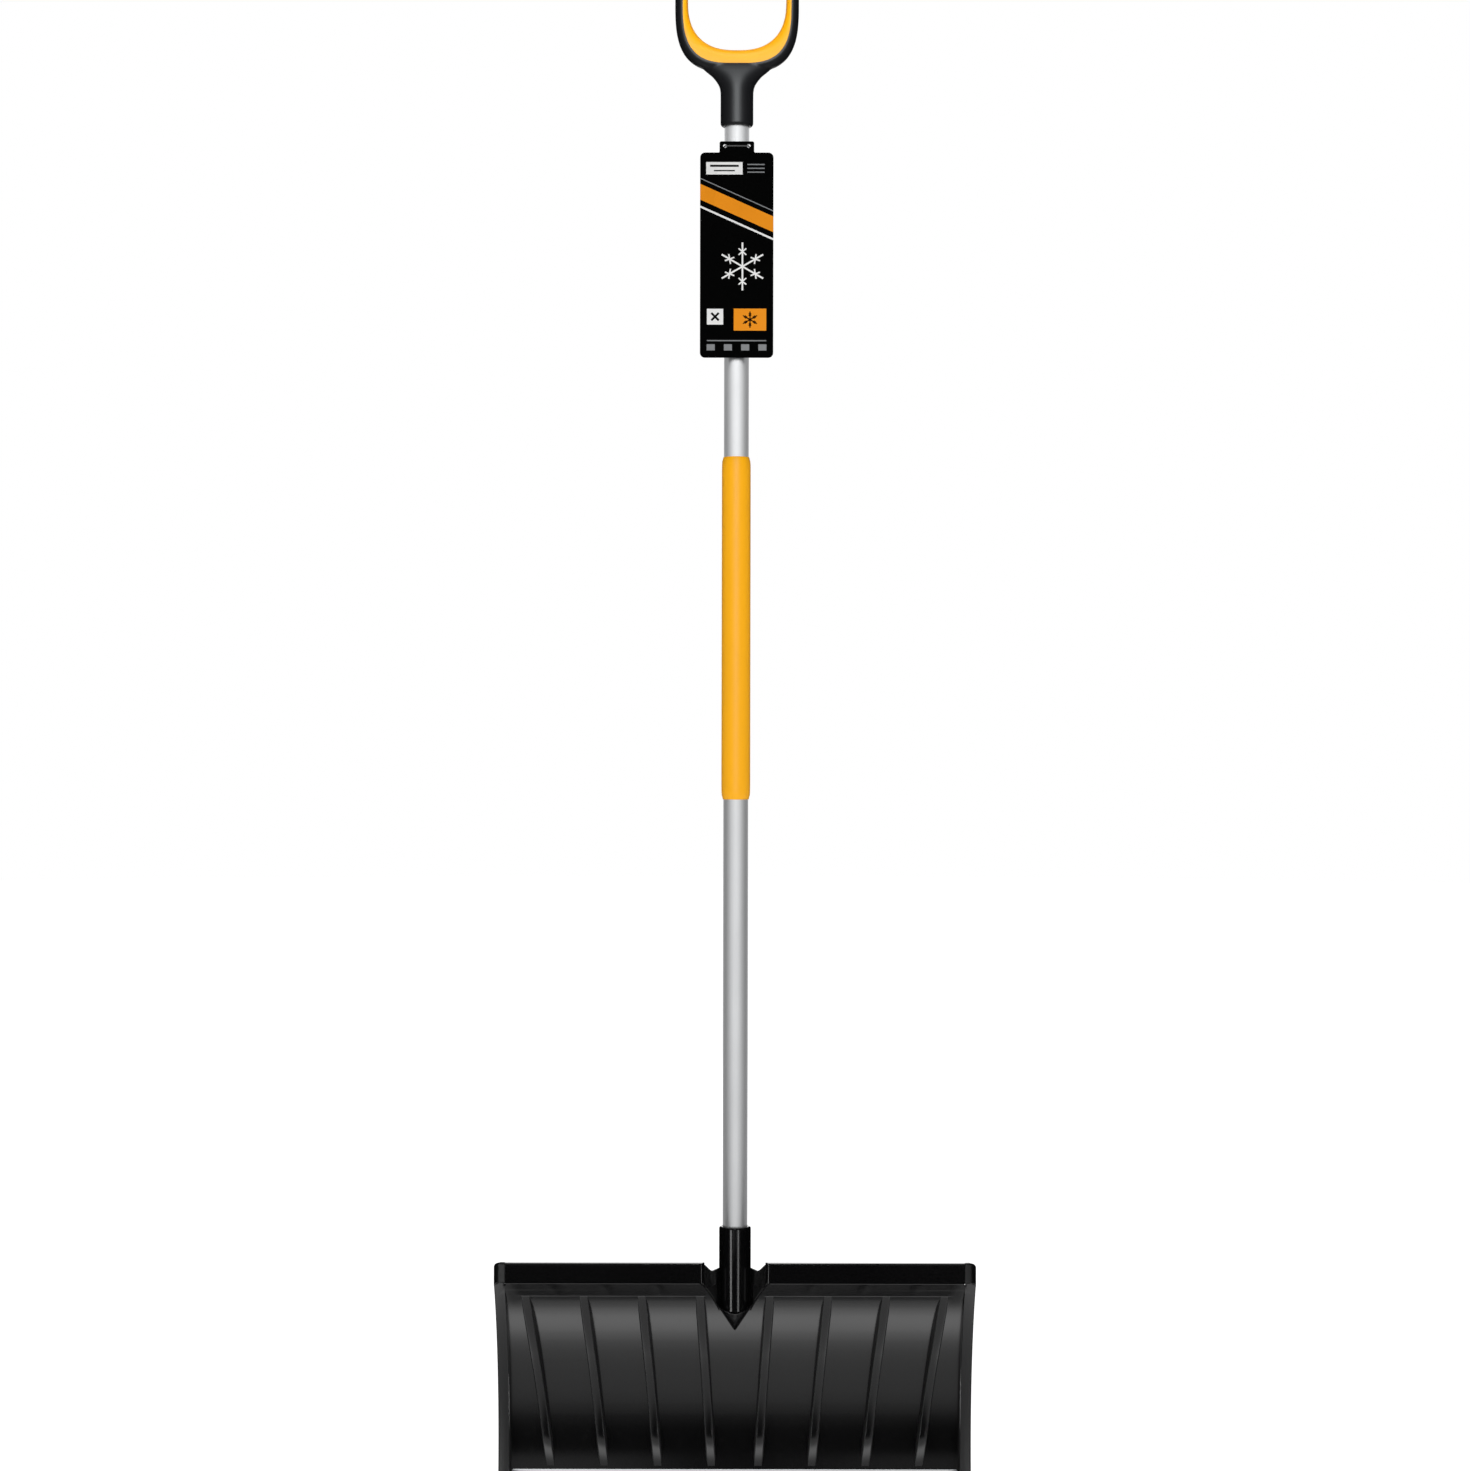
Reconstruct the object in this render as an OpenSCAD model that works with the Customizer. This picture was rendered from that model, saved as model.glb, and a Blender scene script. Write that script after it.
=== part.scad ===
// Snow pusher: D-shaped handle, straight tube with a soft sleeve, curved blade with a steel wear strip.
// The origin is the top of the hand opening, where the handle hangs on a hook.
// +Z is up along the shaft, +X to the right, and the hollow side of the blade faces -Y.

/* [Shaft] */
// Outside diameter of the tube
tube_d = 26; // [24:0.5:30]
// Wall of the tube
tube_wall = 1.5; // [1:0.1:2.5]
// Length of the tube
tube_len = 1295; // [1000:5:1500]
// Length of each plug in the ends of the tube
plug_len = 52; // [40:1:70]
// Outside diameter of the soft sleeve
sleeve_d = 30.2; // [29:0.2:36]
// Length of the soft sleeve
sleeve_len = 359; // [200:1:450]
// Bare tube between the handle and the soft sleeve
sleeve_drop = 345; // [260:1:400]

/* [Handle] */
// Clear width of the hand opening
opening_w = 103; // [90:1:120]
// Clear height of the hand opening
opening_h = 102; // [85:1:115]
// Thickness of the soft liner at the sides of the opening
liner_side = 5.5; // [4:0.5:8]
// Thickness of the soft liner under the hand, at the top
liner_top = 8; // [5:0.5:12]
// Thickness of the soft liner at the bottom of the opening
liner_low = 12.7; // [8:0.1:16]
// Thickness of the hard frame at the sides
frame_side = 8; // [6:0.5:12]
// Thickness of the hard frame over the hand
frame_top = 17; // [12:0.5:24]
// Thickness of the hard frame under the liner
frame_low = 10; // [8:0.5:16]
// Depth of the handle from front to back
handle_depth = 26; // [20:1:34]
// Height of the neck and collar below the hand opening
neck_h = 82; // [70:1:100]
// Solid plastic between the liner and the end of the tube
neck_roof = 6; // [4:0.5:10]
// Height of the straight collar at the foot of the neck
collar_h = 38; // [30:1:48]
// Outside diameter of the collar
collar_d = 34.4; // [33:0.2:42]

/* [Blade] */
// Width of the blade over its side rims
blade_w = 500; // [440:5:600]
// Radius of the hollow face
face_r = 210; // [180:5:260]
// Thickness of the blade's wall
blade_wall = 3.5; // [2.5:0.1:4.5]
// How far the top flange stands in front of the shaft's axis
lip_reach = 49; // [35:1:60]
// How far the deepest line of the face lies behind the shaft's axis
belly = 44; // [30:1:55]
// Height of the flat flange along the top
flange_h = 21; // [15:1:30]
// How far the flange turns back at its ends
flange_return = 20; // [14:1:30]
// Radius of the flange's corners
flange_corner = 9; // [6:0.5:12]
// Width of the band down each side
side_band = 11.5; // [9:0.5:18]
// How far the side band stands proud of the face at its deepest line
side_step = 21; // [12:1:30]
// Depth of the rim behind the side band
side_rim = 15; // [8:1:25]
// Slope of the straight foot under the face
toe_angle = 11.5; // [5:0.5:18]
// Length of the straight foot
toe_len = 21; // [18:1:30]

/* [Face ribs] */
// Number of ribs on each half of the face
rib_count = 4; // [1:1:4]
// Width of a rib
rib_w = 8.6; // [6:0.2:11]
// How far a rib stands out of the face
rib_h = 3.2; // [2:0.1:5]
// Distance of the first rib from the middle, at its lower end
rib_first = 24.8; // [20:0.5:30]
// Distance between ribs at their lower ends
rib_pitch = 57; // [50:0.5:60]
// How far the first rib leans out towards the top
rib_lean = 11.6; // [6:0.2:12]
// How much more each next rib leans out
rib_fan = 3.6; // [0:0.2:4]
// Angle on the face where the ribs start
rib_low_a = -9.5; // [-10.5:0.5:0]
// Angle on the face where the ribs end
rib_top_a = 48.5; // [40:0.5:51]

/* [Socket] */
// Outside diameter of the socket
socket_d = 33.3; // [32:0.1:40]
// How deep the tube goes into the socket
socket_depth = 80; // [60:1:110]
// Height of the socket's rim over the top of the blade
socket_rise = 31; // [20:1:40]
// Floor of the socket under the tube
socket_floor = 8; // [4:0.5:10]
// Length of the nose below the socket
nose_drop = 25.4; // [20:0.2:32]
// How far the ends of the nose's rim rise over its middle
rim_curve = 19; // [14:1:22]
// How far the nose's rim stands before the socket
rim_ahead = 1.5; // [1:0.1:4]
// Width of the notch between the funnel walls, at the flange
notch_w = 63.6; // [54:0.2:80]
// Thickness of the funnel walls
funnel_wall = 3; // [2:0.1:4]
// How far the funnel walls stay below the top of the flange
funnel_dip = 11; // [4:1:16]
// Thickness of the web behind the socket
web_t = 4; // [3:0.5:8]
// Height of the web behind the socket
web_h = 120; // [90:1:140]
// How far the web starts below the socket's screw
web_drop = 24; // [18:1:30]

/* [Wear strip] */
// Height of the steel strip
strip_h = 25; // [22:1:36]
// Thickness of the steel strip
strip_t = 1.5; // [1:0.1:2.5]
// Room between each end of the strip and the side wall
strip_end_gap = 1.5; // [0.5:0.5:6]
// Number of rivets
rivet_count = 7; // [3:2:11]
// Diameter of a rivet's shank
rivet_d = 5; // [4:0.1:6]
// Diameter of a rivet's head
rivet_head_d = 9.6; // [8:0.2:11]
// Height of a rivet's head
rivet_head_h = 1.8; // [1.2:0.1:2.5]
// Distance of the rivets from the top edge of the strip
rivet_drop = 11; // [8:0.5:13]
// Distance of the outer rivets from the ends of the strip
rivet_end = 18; // [10:1:40]
// Diameter of the washers behind the blade
washer_d = 13; // [12:0.5:15]
// Thickness of the washers
washer_t = 1; // [0.8:0.1:2]

/* [Screws] */
// Diameter of the screws
screw_d = 4; // [3:0.1:5]
// Length of the screws under the head
screw_len = 14; // [11:0.5:16]
// Diameter of a screw's head
screw_head_d = 7.6; // [6:0.2:9]
// Height of a screw's head
screw_head_h = 2.6; // [2:0.1:4]
// Height of the handle's screw over the lower end of the collar
handle_screw_up = 18; // [12:1:30]
// Depth of the socket's screw below the rim
socket_screw_down = 40; // [34:1:46]

/* [Hang tag] */
// Width of the card
tag_w = 76.6; // [60:0.2:90]
// Height of the card
tag_h = 215; // [150:1:240]
// Thickness of the card
tag_t = 1.2; // [0.8:0.1:2]
// Radius of the card's corners
tag_corner = 5.2; // [2:0.2:10]
// Width of the tab on top of the card
tab_w = 36.2; // [34:0.2:50]
// Height of the tab
tab_h = 12.6; // [11:0.2:18]
// Height of the tie over the lower edge of the tab
tie_up = 4.8; // [4:0.2:6]
// Distance between the two holes for the tie
tag_hole_gap = 24.6; // [24:0.2:25.6]
// Diameter of the holes for the tie
tag_hole_d = 4; // [3.6:0.1:4.4]
// Bare tube between the collar and the tab
tag_drop = 13.6; // [8:0.2:30]
// Room between the tube and the back of the card
tag_gap = 3.2; // [3:0.1:4.5]
// Diameter of the tie
tie_d = 1.4; // [1:0.1:1.6]

/* [Hidden] */
$fn = 64;
eps = 0.5;              // how far a cut runs past the face that it opens
seat_gap = 0.05;        // radial room of a piece pushed over or into another
liner_gap = 0.15;       // room between the liner and the frame that holds it
tie_gap = 0.5;          // room between the tie and the front of the card

tube_r = tube_d / 2;
bore_r = tube_r + seat_gap;
collar_r = collar_d / 2;
socket_r = socket_d / 2;
screw_r = screw_d / 2;
screw_hole_r = screw_r + seat_gap;
screw_seat = 0.8;       // depth of the flat seat under a screw's head

// Heights, from the hook downwards
collar_low_z = -opening_h - neck_h;
tube_top_z = -opening_h - liner_low - liner_gap - neck_roof;
tube_low_z = tube_top_z - tube_len;
sleeve_top_z = collar_low_z - sleeve_drop;
socket_top_z = tube_low_z + socket_depth;
socket_low_z = tube_low_z - socket_floor;
lip_z = socket_top_z - socket_rise;
flange_low_z = lip_z - flange_h;
handle_screw_z = collar_low_z + handle_screw_up;
socket_screw_z = socket_top_z - socket_screw_down;
tab_top_z = collar_low_z - tag_drop;
card_top_z = tab_top_z - tab_h;
tie_z = card_top_z + tie_up;

// The face is an arc about a line along X in front of the blade
rise = lip_reach + belly;
deep_z = flange_low_z - sqrt(face_r * face_r - (face_r - rise) * (face_r - rise));
face_axis_y = belly - face_r;
face_top_a = acos((face_r - rise) / face_r);
face_half = blade_w / 2 - side_band;

// The side band is a flatter arc, from just behind the flange to side_step before the face
side_low = 8;           // how far the band's deepest line lies under the face's
side_back = 5;          // how far the band's upper end lies behind the flange
side_h = flange_low_z - deep_z + side_low;
side_rise = rise - side_back - side_step;
side_r = (side_h * side_h + side_rise * side_rise) / (2 * side_rise);
side_axis_y = belly - side_step - side_r;
side_axis_z = deep_z - side_low;

// The straight foot starts where the face's arc ends
toe_y = face_axis_y + face_r * cos(toe_angle);
toe_z = deep_z - face_r * sin(toe_angle);

// Heights of the nose: its tip, and the middle and the ends of its rim
nose_tip_z = socket_low_z - nose_drop;
rim_low_z = socket_low_z - 0.9;
rim_end_z = rim_low_z + rim_curve;

strip_w = 2 * (face_half - strip_end_gap);
rivet_gap = (strip_w - 2 * rivet_end) / (rivet_count - 1);
washer_hole_r = rivet_d / 2 + seat_gap;

// ---- Helpers ----

function arc(x, y, r, from, to, n) =
    [for (i = [0:n]) [x + r * cos(from + (to - from) * i / n), y + r * sin(from + (to - from) * i / n)]];

function signed_pow(v, p) = sign(v) * pow(abs(v), p);

// A closed curve with square shoulders: half width a, up to top, down to low, about the height mid
function oval(t, a, top, low, mid, n_top, n_low) =
    let (n = sin(t) >= 0 ? n_top : n_low, b = sin(t) >= 0 ? top - mid : mid - low)
    [a * signed_pow(cos(t), 2 / n), mid + b * signed_pow(sin(t), 2 / n)];

// The three outlines of the handle: the hand opening, the joint of liner and frame, and the outside
mid_z = -opening_h * 0.49;
function opening_at(t) = oval(t, opening_w / 2, 0, -opening_h, mid_z, 3.2, 2.5);
function joint_at(t, gap) =
    oval(t, opening_w / 2 + liner_side + gap, liner_top + gap, -opening_h - liner_low - gap, mid_z, 3.2, 3.2);
function outside_at(t) =
    oval(t, opening_w / 2 + liner_side + frame_side, liner_top + frame_top,
         -opening_h - liner_low - frame_low, mid_z, 3.2, 3.2);

// Joins rings of points into one closed skin; the rings themselves close on each other or get caps
function skin_faces(rings, pts, closed) =
    concat(
        [for (i = [0:rings - (closed ? 1 : 2)], j = [0:pts - 1])
            let (a = i * pts, b = ((i + 1) % rings) * pts, k = (j + 1) % pts) [a + j, a + k, b + k, b + j]],
        closed ? [] : [[for (j = [pts - 1:-1:0]) j], [for (j = [0:pts - 1]) (rings - 1) * pts + j]]);

// A piece that turns about a line along X, from angle a0 to angle a1 above the +Y direction
module about_x(axis_y, axis_z, a0, a1)
    translate([0, axis_y, axis_z]) rotate([90, 0, 90]) rotate([0, 0, a0])
        rotate_extrude(angle = a1 - a0, $fn = 180) children();

// A plate on the straight foot: x centred, from top to low along the foot, from back to front off it
module on_toe() translate([0, toe_y, toe_z]) rotate([-toe_angle, 0, 0]) children();

module rivet_row() for (i = [0:rivet_count - 1])
    on_toe() translate([-strip_w / 2 + rivet_end + i * rivet_gap, 0, -rivet_drop]) rotate([90, 0, 0]) children();

module rounded(w, h, r) {
    square([w - 2 * r, h], center = true);
    square([w, h - 2 * r], center = true);
    for (x = [-1, 1], y = [-1, 1]) translate([x * (w / 2 - r), y * (h / 2 - r)]) circle(r);
}

// ---- Handle ----

ring_n = 72;            // stations round the handle
half_n = 10;            // steps over half of the oval section

// A half-oval section swept round the handle; it bulges outwards, or inwards for the liner
module handle_ring(inward, depth) {
    points = [for (i = [0:ring_n - 1], j = [0:half_n])
        let (t = 360 * i / ring_n, q = -90 + 180 * j / half_n,
             flat = inward ? joint_at(t, -liner_gap / 2) : joint_at(t, liner_gap / 2),
             crown = inward ? opening_at(t) : outside_at(t),
             u = pow(max(cos(q), 0), 2 / 2.8), y = depth / 2 * signed_pow(sin(q), 2 / 2.8),
             p = flat + (crown - flat) * u)
        [p[0], y, p[1]]];
    faces = skin_faces(ring_n, half_n + 1, true);
    polyhedron(points, inward ? faces : [for (f = faces) [f[3], f[2], f[1], f[0]]], convexity = 6);
}

// The neck narrows from the frame's width to the round collar
neck_n = 10;            // stations down the neck
neck_pts = 40;          // points round the neck
module neck() {
    top_z = -opening_h - liner_low - liner_gap - 1;
    low_z = collar_low_z + collar_h;
    low_r = collar_r + 0.3;
    top_w = (opening_w / 2 + liner_side + frame_side) * 0.6;
    points = [for (i = [0:neck_n], j = [0:neck_pts - 1])
        let (s = i / neck_n, t = 360 * (j + 0.5) / neck_pts,
             w = low_r + (top_w - low_r) * pow(1 - s, 1.7),
             d = low_r + (handle_depth * 0.45 - low_r) * pow(1 - s, 1.3))
        [w * cos(t), d * sin(t), top_z + (low_z - top_z) * s]];
    polyhedron(points, skin_faces(neck_n + 1, neck_pts, false), convexity = 4);
}

module handle_frame() {
    round_r = 3;        // radius of the collar's lower edge
    color("#1d1d1f") difference() {
        union() {
            handle_ring(false, handle_depth);
            neck();
            translate([0, 0, collar_low_z]) rotate_extrude()
                polygon(concat([[0, 0]], arc(collar_r - round_r, round_r, round_r, -90, 0, 6),
                               [[collar_r, collar_h + 1], [0, collar_h + 1]]));
        }
        translate([0, 0, collar_low_z - eps]) cylinder(r = bore_r, h = tube_top_z - collar_low_z + eps);
        translate([0, 0, handle_screw_z]) screw_cut(collar_r);
    }
}

module handle_liner() color("#f39a1e") handle_ring(true, handle_depth * 0.94);

// ---- Screws: they enter from behind, along -Y ----

module screw_cut(wall_r) {
    rotate([-90, 0, 0]) cylinder(r = screw_hole_r, h = wall_r + eps);
    translate([0, wall_r - screw_seat, 0]) rotate([-90, 0, 0])
        cylinder(r = screw_head_d / 2 + 0.3, h = screw_seat + eps);
}

module screw(wall_r) {
    tip = screw_d;      // length of the point
    slot = screw_head_d * 0.16;
    translate([0, wall_r - screw_seat, 0]) rotate([90, 0, 0]) {
        cylinder(r = screw_r, h = screw_len - tip);
        translate([0, 0, screw_len - tip]) cylinder(r1 = screw_r, r2 = screw_r * 0.2, h = tip);
        rotate([180, 0, 0]) difference() {
            rotate_extrude() polygon(concat([[0, 0], [screw_head_d / 2, 0]],
                [for (a = [15:15:75]) [screw_head_d / 2 * cos(a), screw_head_h * (0.35 + 0.65 * sin(a))]],
                [[0, screw_head_h]]));
            for (a = [0, 90]) rotate(a) translate([-screw_head_d * 0.28, -slot / 2, screw_head_h - 1.3])
                cube([screw_head_d * 0.56, slot, 1.3 + eps]);
        }
    }
}

module handle_screw() color("#9a9da2") translate([0, 0, handle_screw_z]) screw(collar_r);
module socket_screw() color("#9a9da2") translate([0, 0, socket_screw_z]) screw(socket_r);

// ---- Shaft ----

// The hole for a screw, only through the back wall of the tube or plug
module screw_bore(z) translate([0, 0, z]) rotate([-90, 0, 0]) cylinder(r = screw_hole_r, h = tube_r + eps);

module shaft_tube() color("#c9cccd") difference() {
    translate([0, 0, tube_low_z]) cylinder(r = tube_r, h = tube_len);
    translate([0, 0, tube_low_z - eps]) cylinder(r = tube_r - tube_wall, h = tube_len + 2 * eps);
    screw_bore(handle_screw_z);
    screw_bore(socket_screw_z);
}

module plug(low_z, screw_z) difference() {
    translate([0, 0, low_z]) cylinder(r = tube_r - tube_wall - seat_gap, h = plug_len);
    screw_bore(screw_z);
}
module upper_plug() color("#d8d2c4") plug(tube_top_z - plug_len, handle_screw_z);
module lower_plug() color("#d8d2c4") plug(tube_low_z, socket_screw_z);

// The sleeve's ends are rounded over its wall
module grip_sleeve() {
    wall = sleeve_d / 2 - bore_r;
    color("#f3a02a") translate([0, 0, sleeve_top_z - sleeve_len]) rotate_extrude()
        polygon(concat(arc(bore_r, wall, wall, -90, 0, 6), arc(bore_r, sleeve_len - wall, wall, 0, 90, 6)));
}

// ---- Blade ----

// The arc of the face and its straight foot
module face_shell() {
    about_x(face_axis_y, deep_z, -toe_angle, face_top_a)
        translate([face_r, -face_half - 1]) square([blade_wall, 2 * face_half + 2]);
    on_toe() translate([-face_half - 1, 0, -toe_len]) cube([2 * face_half + 2, blade_wall, toe_len]);
}

// The flange stands up from the face and turns back round its corners
module flange() {
    top_t = 2.5;        // thickness of the flange's folded top edge
    fold = 8;           // depth of the fold
    translate([0, -lip_reach, 0]) {
        translate([0, 0, flange_low_z]) linear_extrude(flange_h) flange_plan(blade_wall);
        translate([0, 0, lip_z - top_t]) linear_extrude(top_t) flange_plan(fold);
    }
}
module flange_plan(t) intersection() {
    translate([0, flange_return]) difference() {
        rounded(blade_w, 2 * flange_return, flange_corner);
        rounded(blade_w - 2 * t, 2 * flange_return - 2 * t, max(flange_corner - t, 0.5));
    }
    translate([-blade_w, 0]) square([2 * blade_w, flange_return]);
}

// Down each side: a wall up from the face, a band turned outwards and a rim behind it
module side(dir) {
    a0 = -asin((side_axis_z - toe_z + toe_len) / side_r) - 4;
    a1 = asin(side_h / side_r) + 3;
    tuck = 2;           // how far the band's upper end reaches up behind the flange
    rim_t = blade_wall - 0.5;
    outer = blade_w / 2;
    difference() {
        union() {
            about_x(side_axis_y, side_axis_z, a0, a1) {
                translate([side_r, dir > 0 ? face_half : -outer]) square([blade_wall, side_band]);
                translate([side_r, dir > 0 ? outer - rim_t : -outer]) square([side_rim, rim_t]);
            }
            intersection() {
                about_x(side_axis_y, side_axis_z, a0, a1)
                    translate([side_r, dir > 0 ? face_half : -face_half - blade_wall])
                        square([side_step + 2 * blade_wall, blade_wall]);
                translate([0, face_axis_y, deep_z]) rotate([0, 90, 0])
                    cylinder(r = face_r + blade_wall + 3, h = 2 * blade_w, center = true, $fn = 180);
            }
        }
        on_toe() translate([-blade_w, -blade_w / 2, -toe_len - blade_w]) cube([2 * blade_w, blade_w, blade_w]);
        translate([-blade_w, -blade_w, flange_low_z + tuck]) cube([2 * blade_w, 2 * blade_w, blade_w]);
    }
}

// Ribs on the hollow face, fanned out towards the top
module rib(dir, i) {
    low_z = deep_z + face_r * sin(rib_low_a);
    top_z = deep_z + face_r * sin(rib_top_a);
    lean = atan((rib_lean + i * rib_fan) / (top_z - low_z));
    root = 1.5;         // how far the rib is rooted in the wall
    translate([dir * (rib_first + i * rib_pitch), 0, low_z]) rotate([0, dir * lean, 0]) translate([0, 0, -low_z])
        about_x(face_axis_y, deep_z, rib_low_a, rib_top_a)
            polygon([[face_r + root, -rib_w / 2], [face_r - rib_h * 0.4, -rib_w / 2],
                     [face_r - rib_h, -rib_w * 0.28], [face_r - rib_h, rib_w * 0.28],
                     [face_r - rib_h * 0.4, rib_w / 2], [face_r + root, rib_w / 2]]);
}

// Seen from above, the funnel narrows from the notch in the flange to the sides of the socket
funnel_end = [socket_r * 0.9, -socket_r * 0.42];
funnel_slope = (notch_w / 2 - funnel_end[0]) / (lip_reach + funnel_end[1]);
function funnel_x(y) = funnel_end[0] + funnel_slope * (funnel_end[1] - y);
module funnel_plan(out, front) {
    x0 = notch_w / 2 + out + front * funnel_slope;
    x1 = funnel_end[0] + out;
    polygon([[x0, -lip_reach - front], [x1, funnel_end[1]], [-x1, funnel_end[1]], [-x0, -lip_reach - front]]);
}

// A block on the back of the face; the opening of the funnel leaves its two walls standing
module funnel_block() {
    root = 1;           // how far the block is rooted in the face
    difference() {
        translate([0, 0, nose_tip_z]) linear_extrude(lip_z - funnel_dip - nose_tip_z) funnel_plan(funnel_wall, -root);
        translate([0, face_axis_y, deep_z]) rotate([0, 90, 0])
            cylinder(r = face_r + root, h = blade_w, center = true, $fn = 180);
    }
}

// The web ties the back of the socket to the back of the face
module web() {
    z0 = socket_screw_z - web_drop;
    z1 = z0 - web_h;
    root = 1;           // how far the web is rooted in the face
    y1 = face_y(z1) + root;
    y2 = face_y(nose_tip_z) + root;
    translate([-web_t / 2, 0, 0]) rotate([90, 0, 90]) linear_extrude(web_t)
        polygon([[socket_r - 2, z0], [socket_r + 1, z0], [y1 + 2, z1], [y1, z1],
                 [y2, nose_tip_z], [bore_r + 1, socket_low_z]]);
}

// The nose closes the funnel below: a wedge on the hollow side, from a curved rim back to its tip
nose_n = 8;             // columns on each half of the nose
function face_y(z) = face_axis_y + sqrt(face_r * face_r - pow(z - deep_z, 2));
module nose() {
    root = blade_wall - 0.5;    // how far the nose is rooted in the face
    ahead = 0.5;                // how far the rim's ends stand before the face
    half = funnel_x(face_y(rim_end_z));
    rim_y = -socket_r - rim_ahead;
    end_y = face_y(rim_end_z) - ahead;
    columns = [for (i = [nose_n - 1:-1:-nose_n])
        let (x = half * (i + 0.5) / (nose_n - 1), t = abs(x) / half, k = min(t, 1),
             z = rim_end_z + (rim_low_z - rim_end_z) * pow(1 - k * k, 1.6),
             y = t > 1 ? face_y(z) + ahead : rim_y + (end_y - rim_y) * pow(k, 1.8),
             tip_z = nose_tip_z + (rim_end_z - nose_tip_z) * k)
        [[x, y, z], [x, face_y(tip_z) + root, tip_z - (t > 1 ? 1 : 0)], [x, face_y(z + 1) + root, z + 1]]];
    polyhedron([for (c = columns, p = c) p], skin_faces(2 * nose_n, 3, false), convexity = 4);
}

module blade() color("#161618") difference() {
    union() {
        difference() {
            union() {
                face_shell();
                flange();
                for (dir = [-1, 1], i = [0:rib_count - 1]) rib(dir, i);
                funnel_block();
            }
            translate([0, 0, socket_low_z + 1]) linear_extrude(lip_z - socket_low_z) funnel_plan(0, 2);
        }
        for (dir = [-1, 1]) side(dir);
        web();
        nose();
        translate([0, 0, socket_low_z]) cylinder(r = socket_r, h = socket_top_z - socket_low_z);
    }
    translate([0, 0, tube_low_z]) cylinder(r = bore_r, h = socket_depth + eps);
    translate([0, 0, socket_screw_z]) screw_cut(socket_r);
    rivet_row() translate([0, 0, -blade_wall - eps]) cylinder(r = washer_hole_r, h = blade_wall + 2 * eps);
}

// ---- Wear strip ----

module wear_strip() color("#b9bcc0") difference() {
    on_toe() translate([-strip_w / 2, -strip_t, -strip_h]) cube([strip_w, strip_t, strip_h]);
    rivet_row() translate([0, 0, -eps]) cylinder(r = washer_hole_r, h = strip_t + 2 * eps);
}

// A rivet's head is a low dome
module rivet_head(d, h) rotate_extrude() polygon(concat([[0, 0]],
    [for (a = [0:15:90]) [d / 2 * cos(a), h * sin(a)]]));

module strip_rivets() color("#c4c7ca") rivet_row() {
    back = blade_wall + washer_t;
    translate([0, 0, strip_t]) rivet_head(rivet_head_d, rivet_head_h);
    translate([0, 0, -back]) cylinder(r = rivet_d / 2, h = back + strip_t);
    translate([0, 0, -back]) rotate([180, 0, 0]) rivet_head(rivet_head_d * 0.9, rivet_head_h);
}

module rivet_washers() color("#b4b7ba") rivet_row() translate([0, 0, -blade_wall - washer_t]) difference() {
    cylinder(r = washer_d / 2, h = washer_t);
    translate([0, 0, -eps]) cylinder(r = washer_hole_r, h = washer_t + 2 * eps);
}

// ---- Hang tag ----

card_back_y = -tube_r - tag_gap;
tie_front_y = card_back_y - tag_t - tie_d / 2 - tie_gap;

// The tie is a loop round the tube that passes through both holes of the card
module tag_tie() {
    n = 48;
    pts = 8;
    r = tie_d / 2;
    half = tube_r + r + 0.6;
    hole_x = tag_hole_gap / 2 + 0.5;    // where the loop passes through the holes
    from_y = tube_r / 2;                // the loop narrows from here to the back of the card
    function loop(t) =
        let (p = sin(t) >= 0 ? 2 : 10, b = sin(t) >= 0 ? half : -tie_front_y, y = b * signed_pow(sin(t), 2 / p),
             k = min(max((-y - from_y) / (-card_back_y - r - from_y), 0), 1))
        [(half + (hole_x - half) * k * k * (3 - 2 * k)) * signed_pow(cos(t), 2 / p), y];
    points = [for (i = [0:n - 1], j = [0:pts - 1])
        let (t = 360 * i / n, a = loop(t), b = loop(t + 0.5), c = loop(t - 0.5),
             dir = (b - c) / norm(b - c), q = 360 * j / pts)
        [a[0] + dir[1] * r * cos(q), a[1] - dir[0] * r * cos(q), tie_z + r * sin(q)]];
    color("#1b1b1b") polyhedron(points, [for (f = skin_faces(n, pts, true)) [f[3], f[2], f[1], f[0]]], convexity = 4);
}

module hang_tag() color("#2a2a2c") translate([0, card_back_y, 0]) rotate([90, 0, 0]) linear_extrude(tag_t)
    difference() {
        union() {
            translate([0, card_top_z - tag_h / 2]) rounded(tag_w, tag_h, tag_corner);
            translate([0, tab_top_z - tab_h / 2 - 1]) rounded(tab_w, tab_h + 2, 1.5);
        }
        for (x = [-1, 1]) translate([x * tag_hole_gap / 2, tie_z]) circle(tag_hole_d / 2);
    }

handle_frame();
handle_liner();
handle_screw();
upper_plug();
shaft_tube();
grip_sleeve();
lower_plug();
blade();
socket_screw();
wear_strip();
strip_rivets();
rivet_washers();
tag_tie();
hang_tag();
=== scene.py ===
"""Snow pusher: a D handle on a straight tube, a curved blade with a wear strip, and a hang tag."""

from math import acos, asin, atan2, cos, hypot, pi, radians, sin, sqrt, tau

import bmesh
import bpy
from mathutils import Matrix, Vector


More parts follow.
